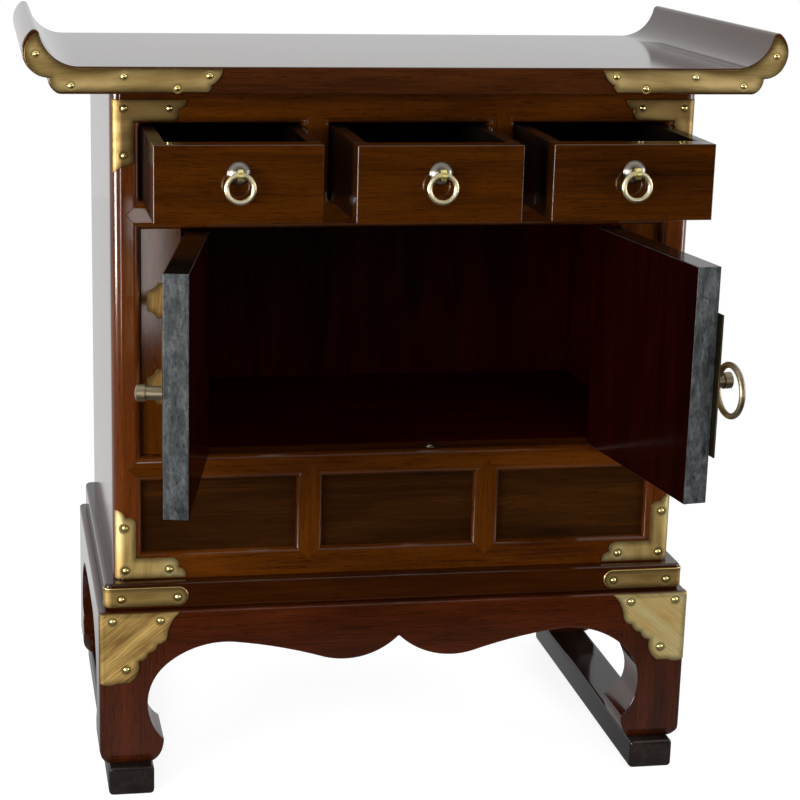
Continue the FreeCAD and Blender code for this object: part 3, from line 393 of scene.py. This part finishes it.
# Inside, a wiped dark red stain has almost no lacquer over it: a deep, dull red.
INSIDE_STAIN = Lacquer("inside_stain", "#1c0202", "#300302", "#400604",
                       gloss=0.15, gloss_roughness=0.3)
# Painted shade: the doors' inner faces take a darker copy of that stain.
SHADED_DOOR_STAIN = Lacquer("door_inside_painted_shade", "#0e0101", "#180201", "#220402",
                     gloss=0.4, gloss_roughness=0.16)
# The back board has a brown stain and one thin coat: plain brown with a satin sheen.
BACK_STAIN = Lacquer("back_board_stain", "#1c0d06", "#2e1709", "#40220f",
                     gloss=0.5, gloss_roughness=0.2)
# The drawer boxes and the doors' top and bottom edges are stained black brown and lacquered:
# almost black between the reflections.
BOX_STAIN = Lacquer("drawer_box_stain", "#0a0706", "#130e0c", "#1d1613", gloss=0.8)
# The doors' edges are open end grain, filled and stained dark: mottled, with a cloudy sheen. Their
# grey colour is painted sheen, the lamps' broad reflection drawn into the colour.
END_GRAIN_AND_SHEEN = Lacquer("door_edge_grain_and_painted_sheen", "#17191a", "#3b3e3f", "#5a5d5d",
                    figure_mm=(22.0, 8.0), streak_mm=(4.0, 2.4), pore_mm=(3.0, 1.4),
                    pore_share=0.7, wood_roughness=0.55, gloss=0.5, gloss_roughness=0.28,
                    ripple_mm=0.06)
# Sheet brass, brushed and then aged: a broad warm sheen with fine scratches, dark toward the
# outline. The plates differ in how far the tarnish has been rubbed away, and the leg brackets'
# lighter brass is also painted light from the lamps on the right.
STRAP_BRASS = Metal("antique_brass_strap", "#66522e", "#9a8150", "#c8ae76", 0.46,
                    Brushing.LEVEL, scratch_mm=0.008, scratch_share=0.1, lit_from_right=0.05)
DULL_BRASS = Metal("tarnished_brass_plate", "#604b29", "#7c633c", "#a08653", 0.4,
                   Brushing.LEVEL, scratch_mm=0.004, scratch_share=0.1)
WARM_BRASS = Metal("warm_brass_plate", "#8c6f3e", "#d2b472", "#f8e2a2", 0.5,
                   Brushing.UPRIGHT, scratch_mm=0.01, scratch_share=0.12)
BELT_BRASS = Metal("brushed_brass_belt", "#86693a", "#b89a5e", "#e2c988", 0.46,
                   Brushing.LEVEL, scratch_mm=0.008, scratch_share=0.12)
# Painted light: the leg brackets' brass is drawn lighter, in place of the lamps on the right that
# fall on them; the scratches and tarnish are its own.
WORN_AND_LIT_LEG_BRASS = Metal("worn_and_lit_leg_brass_plate", "#8a6b3c", "#dcba72", "#ffecac", 0.58,
                     Brushing.DIAGONAL, scratch_mm=0.05, scratch_share=0.4, lit_from_right=0.13)
HINGE_BRASS = Metal("hinge_brass", "#765a2e", "#b8965a", "#e4ca8c", 0.4, Brushing.UPRIGHT)
# Filed edges of the plates, rubbed bright or left dark: a narrow line round each outline.
RIM_BRASS = Metal("rubbed_brass_rim", "#b08f52", "#d2b574", "#ecd79a", 0.34, aged=0.0)
DARK_RIM = Metal("tarnished_brass_rim", "#3d2e15", "#5f4a26", "#8b7040", 0.36, aged=0.0)
# Painted shade: the lock plates' flanks and rims are drawn near black, in place of the shade they
# lie in.
SHADED_PLATE_EDGE = Metal("lock_plate_edge_painted_shade", "#1c1810", "#352d1d", "#5a4d33", 0.4,
                    Brushing.UPRIGHT, aged=0.0)
# Turned and polished brass: small sharp lights on round shapes.
NAIL_BRASS = Metal("bright_brass_nail", "#c9b465", "#e6d487", "#f3e6ae", 0.26)
RING_BRASS = Metal("pale_ring_brass", "#c8b88c", "#ddd0a8", "#eee4c6", 0.34,
                   Brushing.LEVEL, scratch_mm=0.008)
KNOB_BRASS = Metal("aged_knob_brass", "#6a5f4a", "#8f836a", "#b3a78e", 0.4,
                   Brushing.LEVEL, scratch_mm=0.008)
EYE_BRASS = Metal("pull_eye_brass", "#d9c76c", "#ecde90", "#f6edb8", 0.36,
                  Brushing.LEVEL, scratch_mm=0.006)
# Cast bronze, polished: grey brown with a clear reflection.
DOME_BRONZE = Metal("pull_dome_bronze", "#68635b", "#857f75", "#a09a8f", 0.24,
                    Brushing.LEVEL, scratch_mm=0.006)


def pick(piece: bpy.types.Object) -> None:
    """Makes one object active and the only one selected.

    Args:
        piece: Object to work on next.
    """
    bpy.ops.object.select_all(action="DESELECT")
    piece.select_set(True)
    bpy.context.view_layer.objects.active = piece


def copy_of(node: str) -> bpy.types.Object:
    """Copies a CAD node into a piece of its own and merges its loose triangles.

    Args:
        node: Name of the CAD node.

    Returns:
        The new piece, active and alone in the selection.
    """
    mesh = frame["nodes"][node].data.copy()
    mesh.materials.clear()
    piece = bpy.data.objects.new(f"{node}_piece", mesh)
    bpy.context.scene.collection.objects.link(piece)
    pick(piece)
    bpy.ops.mesh.customdata_custom_splitnormals_clear()
    bpy.ops.object.mode_set(mode="EDIT")
    bpy.ops.mesh.select_all(action="SELECT")
    bpy.ops.mesh.remove_doubles(threshold=MERGE)
    bpy.ops.mesh.dissolve_limited(angle_limit=FLAT)
    bpy.ops.object.mode_set(mode="OBJECT")
    return piece


def settle_shading(piece: bpy.types.Object) -> None:
    """Shades a piece smooth over its curves and flat over its faces.

    Args:
        piece: Piece with its final mesh.
    """
    pick(piece)
    bpy.ops.object.shade_smooth_by_angle(angle=SMOOTH)
    piece.modifiers.new("flat_faces", "WEIGHTED_NORMAL").keep_sharp = True
    bpy.ops.object.modifier_apply(modifier="flat_faces")


def round_edges(piece: bpy.types.Object, width_mm: float, segments: int = 3,
                held: Sequence[Plane] = (), rim: int = -1) -> None:
    """Rounds the sharp edges of a piece, except those that lie in held planes.

    Args:
        piece: Piece to finish.
        width_mm: Width of the rounding.
        segments: Steps of the rounding.
        held: Planes, as axis and level in metres, whose edges stay sharp.
        rim: Material slot that the rounding gets, or -1 for that of its neighbours.
    """
    pick(piece)
    bpy.ops.object.mode_set(mode="EDIT")
    bpy.ops.mesh.select_mode(type="EDGE")
    bpy.ops.mesh.select_all(action="DESELECT")
    bpy.ops.mesh.edges_select_sharp(sharpness=SHARP)
    bpy.ops.object.mode_set(mode="OBJECT")
    mesh = piece.data
    weight = mesh.attributes.new("bevel_weight_edge", "FLOAT", "EDGE")
    for edge in mesh.edges:
        ends = [mesh.vertices[i].co for i in edge.vertices]
        fixed = any(all(abs(getattr(end, axis) - level) < TOUCH for end in ends)
                    for axis, level in held)
        weight.data[edge.index].value = float(edge.select and not fixed)
    bevel = piece.modifiers.new("rounding", "BEVEL")
    bevel.limit_method = "WEIGHT"
    bevel.width = width_mm * MM
    bevel.segments = segments
    bevel.material = rim
    bpy.ops.object.modifier_apply(modifier=bevel.name)
    settle_shading(piece)


def put_on(piece: bpy.types.Object, node: str, stands_for: bool = True) -> None:
    """Lets a piece ride on the body of a CAD node, in that node's material slot.

    Args:
        piece: Finished piece.
        node: Name of the CAD node.
        stands_for: Whether the piece replaces the node.
    """
    if stands_for:
        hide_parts(node)
    cad = frame["nodes"][node]
    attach(piece, cad["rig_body"])


def dress(node: str, material: bpy.types.Material) -> None:
    """Gives a CAD node that keeps its shape a better finish.

    Args:
        node: Name of the CAD node.
        material: Its finish.
    """
    slots = frame["nodes"][node].data.materials
    slots.clear()
    slots.append(material)
    log.info("node %s dressed as %s", node, material.name)


@dataclass
class Stand:
    """Runners, legs, aprons and plinth under the case."""

    runner_round: float = 3.5
    leg_round: float = 1.0
    apron_round: float = 1.2
    leg_inner_x: float = 195.5
    leg_inner_y: float = 97.5
    leg_low: float = 25.0

    def build(self) -> None:
        """Makes the rounded pieces of the stand, sharp where they join."""
        level = (("z", self.leg_low * MM),)
        joints = [(axis, side * at * MM)
                  for axis, at in (("x", self.leg_inner_x), ("y", self.leg_inner_y))
                  for side in SIDES]
        for side in ("left", "right"):
            runner = copy_of(f"{side}_runner")
            runner.data.materials.append(RUNNER_LACQUER.material(Grain.Y))
            round_edges(runner, self.runner_round)
            put_on(runner, f"{side}_runner")
            for end in ("front", "back"):
                leg = copy_of(f"{end}_{side}_leg")
                leg.data.materials.append(LEG_LACQUER.material(Grain.Z))
                round_edges(leg, self.leg_round, held=(*joints, *level))
                put_on(leg, f"{end}_{side}_leg")
        for name, grain in (("front", Grain.X), ("back", Grain.X),
                            ("left", Grain.Y), ("right", Grain.Y)):
            apron = copy_of(f"{name}_apron")
            apron.data.materials.append(LEG_LACQUER.material(grain))
            round_edges(apron, self.apron_round, held=(*joints, *level))
            put_on(apron, f"{name}_apron")
        dress("plinth_board", PLINTH_LACQUER.material(Grain.X))


@dataclass
class FrontFrame:
    """Posts, rails, dividers and muntins, mitred together round the openings."""

    mitre_round: float = 0.25

    def build(self) -> None:
        """Makes the frame's members with fine open mitres."""
        upright = ("left_post", "right_post", "drawer_dividers", "muntins")
        level = ("top_rail", "drawer_rail", "waist_rail", "bottom_rail")
        for names, grain in ((upright, Grain.Z), (level, Grain.X)):
            for name in names:
                member = copy_of(name)
                # The posts take the lighter finish, which is painted light.
                finish = LIT_POST_LACQUER if "post" in name else FRAME_LACQUER
                member.data.materials.append(finish.material(grain))
                round_edges(member, self.mitre_round, segments=2)
                put_on(member, name)


@dataclass
class CaseBoards:
    """Boards of the case, lacquered outside and stained dark red inside."""

    board_round: float = 1.0
    face_share: float = 0.9
    joint_y: float = -111.5

    def build(self) -> None:
        """Makes the boards that show on both faces and finishes the others."""
        dress("lower_panels", PANEL_LACQUER.material(Grain.X))
        outside = FRAME_LACQUER.material(Grain.Z)
        for side, inward in (("left", 1.0), ("right", -1.0)):
            self.two_faced(f"{side}_side", Vector((inward, 0, 0)), outside)
            self.two_faced(f"{side}_hinge_panel", Vector((0, 1, 0)), outside)
        self.two_faced("back_panel", Vector((0, -1, 0)), BACK_STAIN.material(Grain.Z))
        dress("cupboard_floor", INSIDE_STAIN.material(Grain.X))
        dress("dust_board", INSIDE_STAIN.material(Grain.X))
        dress("drawer_partitions", INSIDE_STAIN.material(Grain.Y))

    def two_faced(self, name: str, inward: Vector, outside: bpy.types.Material) -> None:
        """Makes a board with one finish toward the inside and one for the rest.

        Args:
            name: CAD node of the board.
            inward: Way that the inner face looks.
            outside: Finish of the other faces.
        """
        board = copy_of(name)
        board.data.materials.append(outside)
        board.data.materials.append(INSIDE_STAIN.material(Grain.Z))
        for face in board.data.polygons:
            face.material_index = int(face.normal.dot(inward) > self.face_share)
        round_edges(board, self.board_round, segments=2, held=(("y", self.joint_y * MM),))
        put_on(board, name)


@dataclass
class ScrollTop:
    """Top board with its two upturned ends."""

    edge_round: float = 1.2
    end_x: float = 262.0

    def build(self) -> None:
        """Makes the top with softened front and back edges."""
        joints = [("x", side * self.end_x * MM) for side in SIDES]
        for name in ("top_board", "left_scroll_end", "right_scroll_end"):
            board = copy_of(name)
            grain = Grain.X if name == "top_board" else Grain.Y
            board.data.materials.append(TOP_LACQUER.material(grain))
            round_edges(board, self.edge_round, held=joints)
            put_on(board, name)


class DoorFace(IntEnum):
    """Material slot of each kind of face on a door."""

    OUTSIDE = 0
    EDGE = 1
    INSIDE = 2
    END = 3


@dataclass
class Doors:
    """Two doors, lacquered outside, dark red inside and mottled grey on their upright edges, where
    the grey is painted sheen.
    """

    face_share: float = 0.9
    broad_m2: float = 0.02

    def build(self) -> None:
        """Finishes the doors and their edges."""
        for side, outward in zip(("left", "right"), SIDES):
            door = copy_of(f"{side}_door")
            for finish in (PANEL_LACQUER, END_GRAIN_AND_SHEEN, SHADED_DOOR_STAIN, BOX_STAIN):
                door.data.materials.append(finish.material(Grain.Z))
            faces = door.data.polygons
            front = max((face.normal.copy() for face in faces if face.area > self.broad_m2),
                        key=lambda normal: normal.x * outward)
            for face in faces:
                facing = face.normal.dot(front)
                if abs(face.normal.z) > self.face_share:
                    kind = DoorFace.END
                elif abs(facing) < self.face_share:
                    kind = DoorFace.EDGE
                else:
                    kind = DoorFace.OUTSIDE if facing > 0 else DoorFace.INSIDE
                face.material_index = kind.value
            settle_shading(door)
            put_on(door, f"{side}_door")


@dataclass
class Drawers:
    """Three drawers with their pulls and rings."""

    box_round: float = 0.6
    eye_radius: float = 4.6
    eye_thick: float = 3.4
    eye_spare: float = 0.1

    def build(self) -> None:
        """Finishes the drawers."""
        for name in ("left", "middle", "right"):
            dress(f"{name}_drawer_front", DRAWER_LACQUER.material(Grain.X))
            box = copy_of(f"{name}_drawer_box")
            box.data.materials.append(BOX_STAIN.material(Grain.Y))
            round_edges(box, self.box_round, segments=2)
            put_on(box, f"{name}_drawer_box")
            self.pull(name)
            dress(f"{name}_ring", RING_BRASS.material())

    def pull(self, name: str) -> None:
        """Makes a pull with a bronze dome and a bright brass eye.

        Args:
            name: Which drawer, left, middle or right.
        """
        pull = copy_of(f"{name}_pull")
        pull.data.materials.append(DOME_BRONZE.material())
        pull.data.materials.append(EYE_BRASS.material())
        low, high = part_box(f"{name}_pull")
        eye = Vector(((low.x + high.x) / 2, low.y + self.eye_radius * MM, (low.z + high.z) / 2))
        half = (self.eye_thick / 2 + self.eye_spare) * MM
        reach = (self.eye_radius + self.eye_spare) * MM
        for face in pull.data.polygons:
            away = face.center - eye
            in_eye = abs(away.x) < half and math.hypot(away.y, away.z) < reach
            face.material_index = int(in_eye)
        settle_shading(pull)
        put_on(pull, f"{name}_pull")


@dataclass
class BrassMounts:
    """Brass plates, hinges, knobs and latch, with a rubbed rim on each plate."""

    FRONT: ClassVar[tuple[int, int]] = (0, 2)
    FLANK: ClassVar[tuple[int, int]] = (1, 2)
    rim_mm: float = 0.8
    small_rim_mm: float = 0.4
    face_share: float = 0.9
    cell_mm: float = 3.0
    border_mm: float = 5.0
    border_depth: float = 0.9

    def build(self) -> None:
        """Makes the plates with bright rims and finishes the small parts."""
        for name, metal, rim in (("top_straps", STRAP_BRASS, DARK_RIM),
                                 ("upper_brackets", DULL_BRASS, DARK_RIM),
                                 ("lower_brackets", WARM_BRASS, RIM_BRASS),
                                 ("plinth_straps", BELT_BRASS, RIM_BRASS),
                                 ("leg_brackets", WORN_AND_LIT_LEG_BRASS, RIM_BRASS)):
            put_on(self.rimmed(name, metal, rim, self.rim_mm, self.FRONT), name)
        for name, axes in (("fixed_hinge_leaves", self.FRONT), ("left_door_leaves", self.FLANK),
                           ("right_door_leaves", self.FLANK)):
            put_on(self.rimmed(name, HINGE_BRASS, RIM_BRASS, self.small_rim_mm, axes), name)
        for name, side in zip(("left_lock_plate", "right_lock_plate"), SIDES):
            plate = self.rimmed(name, HINGE_BRASS, SHADED_PLATE_EDGE, self.small_rim_mm, self.FLANK)
            # Every face but the outward one takes the near-black painted-shade finish.
            faces = plate.data.polygons
            outward = max(faces, key=lambda face: side * face.normal.x * face.area).normal.copy()
            for face in faces:
                face.material_index = int(face.normal.dot(outward) < self.face_share)
            put_on(plate, name)
        for name in ("hinge_pins", "floor_catch", "left_knob", "right_knob", "latch_ring"):
            dress(name, KNOB_BRASS.material())

    def rimmed(self, name: str, metal: Metal, rim: Metal, width_mm: float,
               axes: tuple[int, int]) -> bpy.types.Object:
        """Makes a plate with a rounded rim of its own finish and patina along its outline.

        Args:
            name: CAD node of the plate.
            metal: Finish of its faces.
            rim: Finish of its rim.
            width_mm: Width of the rim.
            axes: The two axes that the plate spreads along.

        Returns:
            The finished plate.
        """
        plate = copy_of(name)
        plate.data.materials.append(metal.material())
        plate.data.materials.append(rim.material())
        round_edges(plate, width_mm, rim=1)
        self.cut_cells(plate, axes)
        mesh = plate.data
        outline = {i for face in mesh.polygons if face.material_index for i in face.vertices}
        tree = KDTree(len(outline))
        for i in outline:
            tree.insert(mesh.vertices[i].co, i)
        tree.balance()
        patina = mesh.attributes.new(PATINA, "FLOAT", "POINT")
        for vertex in mesh.vertices:
            inside = tree.find(vertex.co)[2] / (self.border_mm * MM)
            patina.data[vertex.index].value = self.border_depth * max(1 - inside, 0.0)
        settle_shading(plate)
        return plate

    def cut_cells(self, plate: bpy.types.Object, axes: tuple[int, int]) -> None:
        """Cuts plates into small cells, so that their points can hold the patina.

        Args:
            plate: One plate, or a pair on the two sides of the middle.
            axes: The two axes that the plates spread along.
        """
        pick(plate)
        points = [vertex.co.copy() for vertex in plate.data.vertices]
        bpy.ops.object.mode_set(mode="EDIT")
        for axis in axes:
            way = Vector([float(i == axis) for i in range(3)])
            for side in SIDES:
                span = [point[axis] for point in points if point[axis] * side > 0]
                cells = math.ceil((max(span) - min(span)) / (self.cell_mm * MM)) if span else 0
                for step in range(1, cells):
                    level = min(span) + step * self.cell_mm * MM
                    bpy.ops.mesh.select_all(action="SELECT")
                    bpy.ops.mesh.bisect(plane_co=way * level, plane_no=way)
        bpy.ops.object.mode_set(mode="OBJECT")


@dataclass
class Nails:
    """Domed brass nails of one pair of plates, mirrored left and right."""

    name: str
    plate: str
    metal: Metal
    face_y: float
    spots: Sequence[tuple[float, float]]
    head_radius: float = 2.4
    head_tall: float = 1.3
    halo_radius: float = 5.2
    halo_tall: float = 0.06
    halo_depth: float = 1.9
    steps: int = 20
    rings: int = 24
    halo_steps: int = 24

    def build(self) -> None:
        """Models one nail, copies it to every spot and joins the copies."""
        first = self.nail()
        heads = [first]
        places = [Vector((side * x, self.face_y, z)) * MM
                  for x, z in self.spots for side in SIDES]
        for place in places[1:]:
            head = first.copy()
            head.data = first.data.copy()
            bpy.context.scene.collection.objects.link(head)
            head.data.transform(Matrix.Translation(place))
            heads.append(head)
        first.data.transform(Matrix.Translation(places[0]))
        pick(first)
        for head in heads:
            head.select_set(True)
        bpy.ops.object.join()
        first.name = self.name
        settle_shading(first)
        put_on(first, self.plate, stands_for=False)

    def nail(self) -> bpy.types.Object:
        """Models a nail at the origin, its head toward -Y in the dark patina left round it.

        Returns:
            The nail with its ring of patina.
        """
        ball = (self.head_radius ** 2 + self.head_tall ** 2) / (2 * self.head_tall)
        bpy.ops.object.select_all(action="DESELECT")
        bpy.ops.mesh.primitive_uv_sphere_add(
            segments=self.steps, ring_count=self.rings, radius=ball * MM,
            location=(0, (ball - self.head_tall) * MM, 0), rotation=(math.pi / 2, 0, 0))
        bpy.ops.object.transform_apply()
        dome = bpy.context.object
        bpy.ops.object.mode_set(mode="EDIT")
        bpy.ops.mesh.select_all(action="SELECT")
        bpy.ops.mesh.bisect(plane_co=(0, 0, 0), plane_no=(0, 1, 0), use_fill=True, clear_outer=True)
        bpy.ops.object.mode_set(mode="OBJECT")
        dome.data.materials.append(NAIL_BRASS.material())
        bpy.ops.mesh.primitive_cylinder_add(
            vertices=self.halo_steps, radius=self.halo_radius * MM, depth=self.halo_tall * MM,
            end_fill_type="TRIFAN", location=(0, -self.halo_tall * MM / 2, 0),
            rotation=(math.pi / 2, 0, 0))
        bpy.ops.object.transform_apply()
        halo = bpy.context.object
        halo.data.materials.append(self.metal.material())
        patina = halo.data.attributes.new(PATINA, "FLOAT", "POINT")
        for vertex in halo.data.vertices:
            share = 1 - math.hypot(vertex.co.x, vertex.co.z) / (self.halo_radius * MM)
            patina.data[vertex.index].value = self.halo_depth * max(share, 0.0)
        pick(dome)
        halo.select_set(True)
        bpy.ops.object.join()
        return dome


class Reach(Enum):
    """What a lamp acts on."""

    COLOUR = "lights every colour and leaves no reflection"
    GLOSS = "shows as a reflection on gloss and metal"
    BRASS = "shows as a reflection on metal alone"


@dataclass(frozen=True)
class Lamp:
    """A rectangular soft box, with its place and size in metres and its power in watts."""

    name: str
    place: tuple[float, float, float]
    size: tuple[float, float]
    power: float
    reach: Reach


@dataclass
class Studio:
    """White studio with a dark side behind the camera, soft boxes and the camera.

    The lamps for gloss are narrow or stand far to the sides, and the lacquer does not see those
    for brass, so that its flat faces seldom reflect a lamp.
    """

    image_px: float = 800.0
    focal_px: float = 2098.43
    centre_px: tuple[float, float] = (328.57, 422.25)
    eye_mm: tuple[float, float, float] = (-342.17, -1776.58, 762.14)
    yaw: float = 9.7307
    pitch: float = 15.0981
    roll: float = 1.1167
    sensor: float = 36.0
    far_m: float = 50.0
    fill: float = 0.48
    # What a reflection sees of the room, from the camera's side to the far side.
    room: Sequence[tuple[float, str]] = (
        (0.0, "#1c1c1c"), (0.08, "#1c1c1c"), (0.32, "#ffffff"), (0.7, "#ffffff"),
        (0.95, "#e6e6e6"))
    floor_m: float = 6.0
    floor_z: float = -0.0005
    sheet: str = "#9c9c9c"
    glow: float = 0.84
    near_m: tuple[float, float] = (0.5, 1.1)
    # What a reflection sees of the floor, from mirror_m in front to mirror_m behind.
    mirror_m: float = 2.0
    mirrored: Sequence[tuple[float, str]] = (
        (0.0, "#161616"), (0.36, "#161616"), (0.43, "#828282"), (0.47, "#828282"),
        (0.6, "#e0e0e0"))
    aim: tuple[float, float, float] = (0.0, 0.0, 0.35)
    lamps: Sequence[Lamp] = (
        Lamp("left_softbox", (-1.3, -1.2, 0.5), (0.75, 0.95), 26.0, Reach.COLOUR),
        Lamp("right_softbox", (1.4, -1.1, 0.55), (0.6, 1.4), 18.0, Reach.COLOUR),
        Lamp("front_fill", (-0.2, -2.3, 1.5), (1.8, 1.2), 13.0, Reach.COLOUR),
        Lamp("back_fill", (0.5, 2.4, 1.3), (1.8, 1.2), 22.0, Reach.COLOUR),
        Lamp("left_flash", (-1.6, -0.7, 0.4), (0.5, 0.55), 30.0, Reach.GLOSS),
        Lamp("right_flash", (1.7, -0.36, 0.45), (0.35, 0.9), 8.0, Reach.GLOSS),
        Lamp("left_strip", (-0.86, -1.6, 0.46), (0.1, 0.88), 5.0, Reach.GLOSS),
        Lamp("left_brass_light", (-1.3, -1.2, 0.45), (0.75, 0.95), 8.0, Reach.BRASS),
        Lamp("front_brass_card", (0.6, -2.1, 0.3), (2.4, 1.2), 11.5, Reach.BRASS))

    def build(self) -> None:
        """Sets the world, the floor, the lamps and the camera."""
        scene = bpy.context.scene
        scene.view_settings.view_transform = "Standard"
        self.world()
        self.floor()
        brass = self.brass()
        for lamp in self.lamps:
            self.hang(lamp, brass)
        scene.camera = self.camera()

    @staticmethod
    def brass() -> bpy.types.Collection:
        """Gathers the metal pieces in a collection of their own.

        Returns:
            The collection, which is not in the scene itself.
        """
        group = bpy.data.collections.new("brass_pieces")
        for piece in bpy.context.scene.objects:
            names = {slot.material.name for slot in piece.material_slots if slot.material}
            if names & Metal.made:
                group.objects.link(piece)
        return group

    def world(self) -> None:
        """Makes white surroundings that darken toward the camera's side for reflections."""
        world = bpy.data.worlds.new("white_studio")
        bpy.context.scene.world = world
        world.use_nodes = True
        tree = world.node_tree
        ray = add_node(tree, "ShaderNodeLightPath").outputs
        way = add_node(tree, "ShaderNodeTexCoord").outputs["Generated"]
        way_y = add_node(tree, "ShaderNodeSeparateXYZ", {0: way}).outputs["Y"]
        behind = add_node(tree, "ShaderNodeMapRange", {
            0: way_y, 1: -1.0, 2: 1.0, 3: 0.0, 4: 1.0})
        shine = ramp(tree, behind.outputs[0], self.room)
        mirror = add_node(tree, "ShaderNodeMath", {
            0: ray["Is Glossy Ray"], 1: ray["Is Transmission Ray"]}, operation="MAXIMUM")
        soft = add_node(tree, "ShaderNodeMix", {0: mirror.outputs[0], 2: self.fill, 3: shine})
        level = add_node(tree, "ShaderNodeMix", {
            0: ray["Is Camera Ray"], 2: soft.outputs[0], 3: 1.0})
        backdrop = tree.nodes["Background"].inputs
        tree.links.new(level.outputs[0], backdrop["Strength"])
        backdrop["Color"].default_value = linear("#ffffff")

    def floor(self) -> None:
        """Lays the pale floor, which shows white to the camera and keeps the shadow."""
        bpy.ops.object.select_all(action="DESELECT")
        bpy.ops.mesh.primitive_plane_add(size=self.floor_m, location=(0, 0, self.floor_z))
        floor = bpy.context.object
        floor.name = "studio_floor"
        material = bpy.data.materials.new("white_studio_floor")
        material.use_nodes = True
        tree = material.node_tree
        tree.nodes.remove(tree.nodes["Principled BSDF"])
        ray = add_node(tree, "ShaderNodeLightPath").outputs
        place = add_node(tree, "ShaderNodeTexCoord").outputs["Object"]
        place_y = add_node(tree, "ShaderNodeSeparateXYZ", {0: place}).outputs["Y"]
        depth = add_node(tree, "ShaderNodeMapRange", {
            0: place_y, 1: -self.mirror_m, 2: self.mirror_m, 3: 0.0, 4: 1.0})
        paper = add_node(tree, "ShaderNodeEmission", {
            "Color": ramp(tree, depth.outputs[0], self.mirrored), "Strength": 1.0})
        sheet = add_node(tree, "ShaderNodeBsdfDiffuse", {"Color": linear(self.sheet)})
        glow = add_node(tree, "ShaderNodeEmission", {
            "Color": linear("#ffffff"), "Strength": self.glow})
        close = add_node(tree, "ShaderNodeAddShader", {0: sheet.outputs[0], 1: glow.outputs[0]})
        reach = add_node(tree, "ShaderNodeVectorMath", {0: place}, operation="LENGTH")
        start, end = self.near_m
        far = add_node(tree, "ShaderNodeMapRange", {
            0: reach.outputs["Value"], 1: start, 2: end, 3: 0.0, 4: 1.0})
        white = add_node(tree, "ShaderNodeEmission", {
            "Color": linear("#ffffff"), "Strength": 1.0})
        seen = add_node(tree, "ShaderNodeMixShader", {
            0: far.outputs[0], 1: close.outputs[0], 2: white.outputs[0]})
        mirror = add_node(tree, "ShaderNodeMath", {
            0: ray["Is Glossy Ray"], 1: ray["Is Transmission Ray"]}, operation="MAXIMUM")
        bounce = add_node(tree, "ShaderNodeMixShader", {
            0: mirror.outputs[0], 1: sheet.outputs[0], 2: paper.outputs[0]})
        mix = add_node(tree, "ShaderNodeMixShader", {
            0: ray["Is Camera Ray"], 1: bounce.outputs[0], 2: seen.outputs[0]})
        tree.links.new(mix.outputs[0], tree.nodes["Material Output"].inputs["Surface"])
        floor.data.materials.append(material)

    def hang(self, lamp: Lamp, brass: bpy.types.Collection) -> None:
        """Hangs a soft box that looks at the cabinet.

        Args:
            lamp: What it is and what it acts on.
            brass: The metal pieces, for a lamp that is theirs alone.
        """
        light = bpy.data.lights.new(lamp.name, "AREA")
        light.shape = "RECTANGLE"
        light.size, light.size_y = lamp.size
        light.energy = lamp.power
        box = bpy.data.objects.new(lamp.name, light)
        bpy.context.scene.collection.objects.link(box)
        box.location = lamp.place
        way = Vector(self.aim) - Vector(lamp.place)
        box.rotation_euler = way.to_track_quat("-Z", "Y").to_euler()
        box.visible_camera = False
        box.visible_glossy = lamp.reach is not Reach.COLOUR
        box.visible_diffuse = lamp.reach is Reach.COLOUR
        if lamp.reach is Reach.BRASS:
            box.light_linking.receiver_collection = brass

    def camera(self) -> bpy.types.Object:
        """Sets the camera where the photograph was taken from.

        Returns:
            The camera.
        """
        data = bpy.data.cameras.new("camera")
        camera = bpy.data.objects.new("camera", data)
        bpy.context.scene.collection.objects.link(camera)
        yaw, pitch, roll = (math.radians(turn) for turn in (self.yaw, self.pitch, self.roll))
        ahead = Vector((math.sin(yaw) * math.cos(pitch), math.cos(yaw) * math.cos(pitch),
                        -math.sin(pitch)))
        level = Vector((math.cos(yaw), -math.sin(yaw), 0))
        rise = level.cross(ahead)
        right = math.cos(roll) * level + math.sin(roll) * rise
        up = math.cos(roll) * rise - math.sin(roll) * level
        place = Matrix((right, up, -ahead)).transposed().to_4x4()
        place.translation = Vector(self.eye_mm) * MM
        camera.matrix_world = place
        data.sensor_width = self.sensor
        data.lens = self.focal_px / self.image_px * self.sensor
        data.shift_x = 0.5 - self.centre_px[0] / self.image_px
        data.shift_y = self.centre_px[1] / self.image_px - 0.5
        data.clip_end = self.far_m
        return camera


def main() -> None:
    """Builds and dresses the cabinet in order, then the studio."""
    logging.basicConfig(level=logging.INFO, format="%(name)s: %(message)s")
    assemblies = [
        Stand(), FrontFrame(), CaseBoards(), ScrollTop(), Doors(), Drawers(), BrassMounts(),
        Nails("top_strap_nails", "top_straps", STRAP_BRASS, -157.2, (
            (294.7, 613.7), (268.6, 589.8), (228.3, 596.7), (187.3, 587.8), (162.3, 597.2)),
            halo_radius=4.0),
        Nails("upper_bracket_nails", "upper_brackets", DULL_BRASS, -137.7, (
            (227.0, 570.2), (191.6, 570.1), (227.1, 533.3)), halo_radius=4.2),
        Nails("lower_bracket_nails", "lower_brackets", WARM_BRASS, -137.7, (
            (228.5, 227.6), (228.0, 191.0), (192.0, 191.1))),
        Nails("plinth_strap_nails", "plinth_straps", BELT_BRASS, -149.2, (
            (232.5, 170.0), (186.0, 170.5))),
        Nails("leg_bracket_nails", "leg_brackets", WORN_AND_LIT_LEG_BRASS, -154.7, (
            (240.2, 153.0), (200.8, 152.5), (229.3, 110.5))),
        Studio(),
    ]
    for assembly in assemblies:
        assembly.build()


if __name__ == "__main__":
    main()
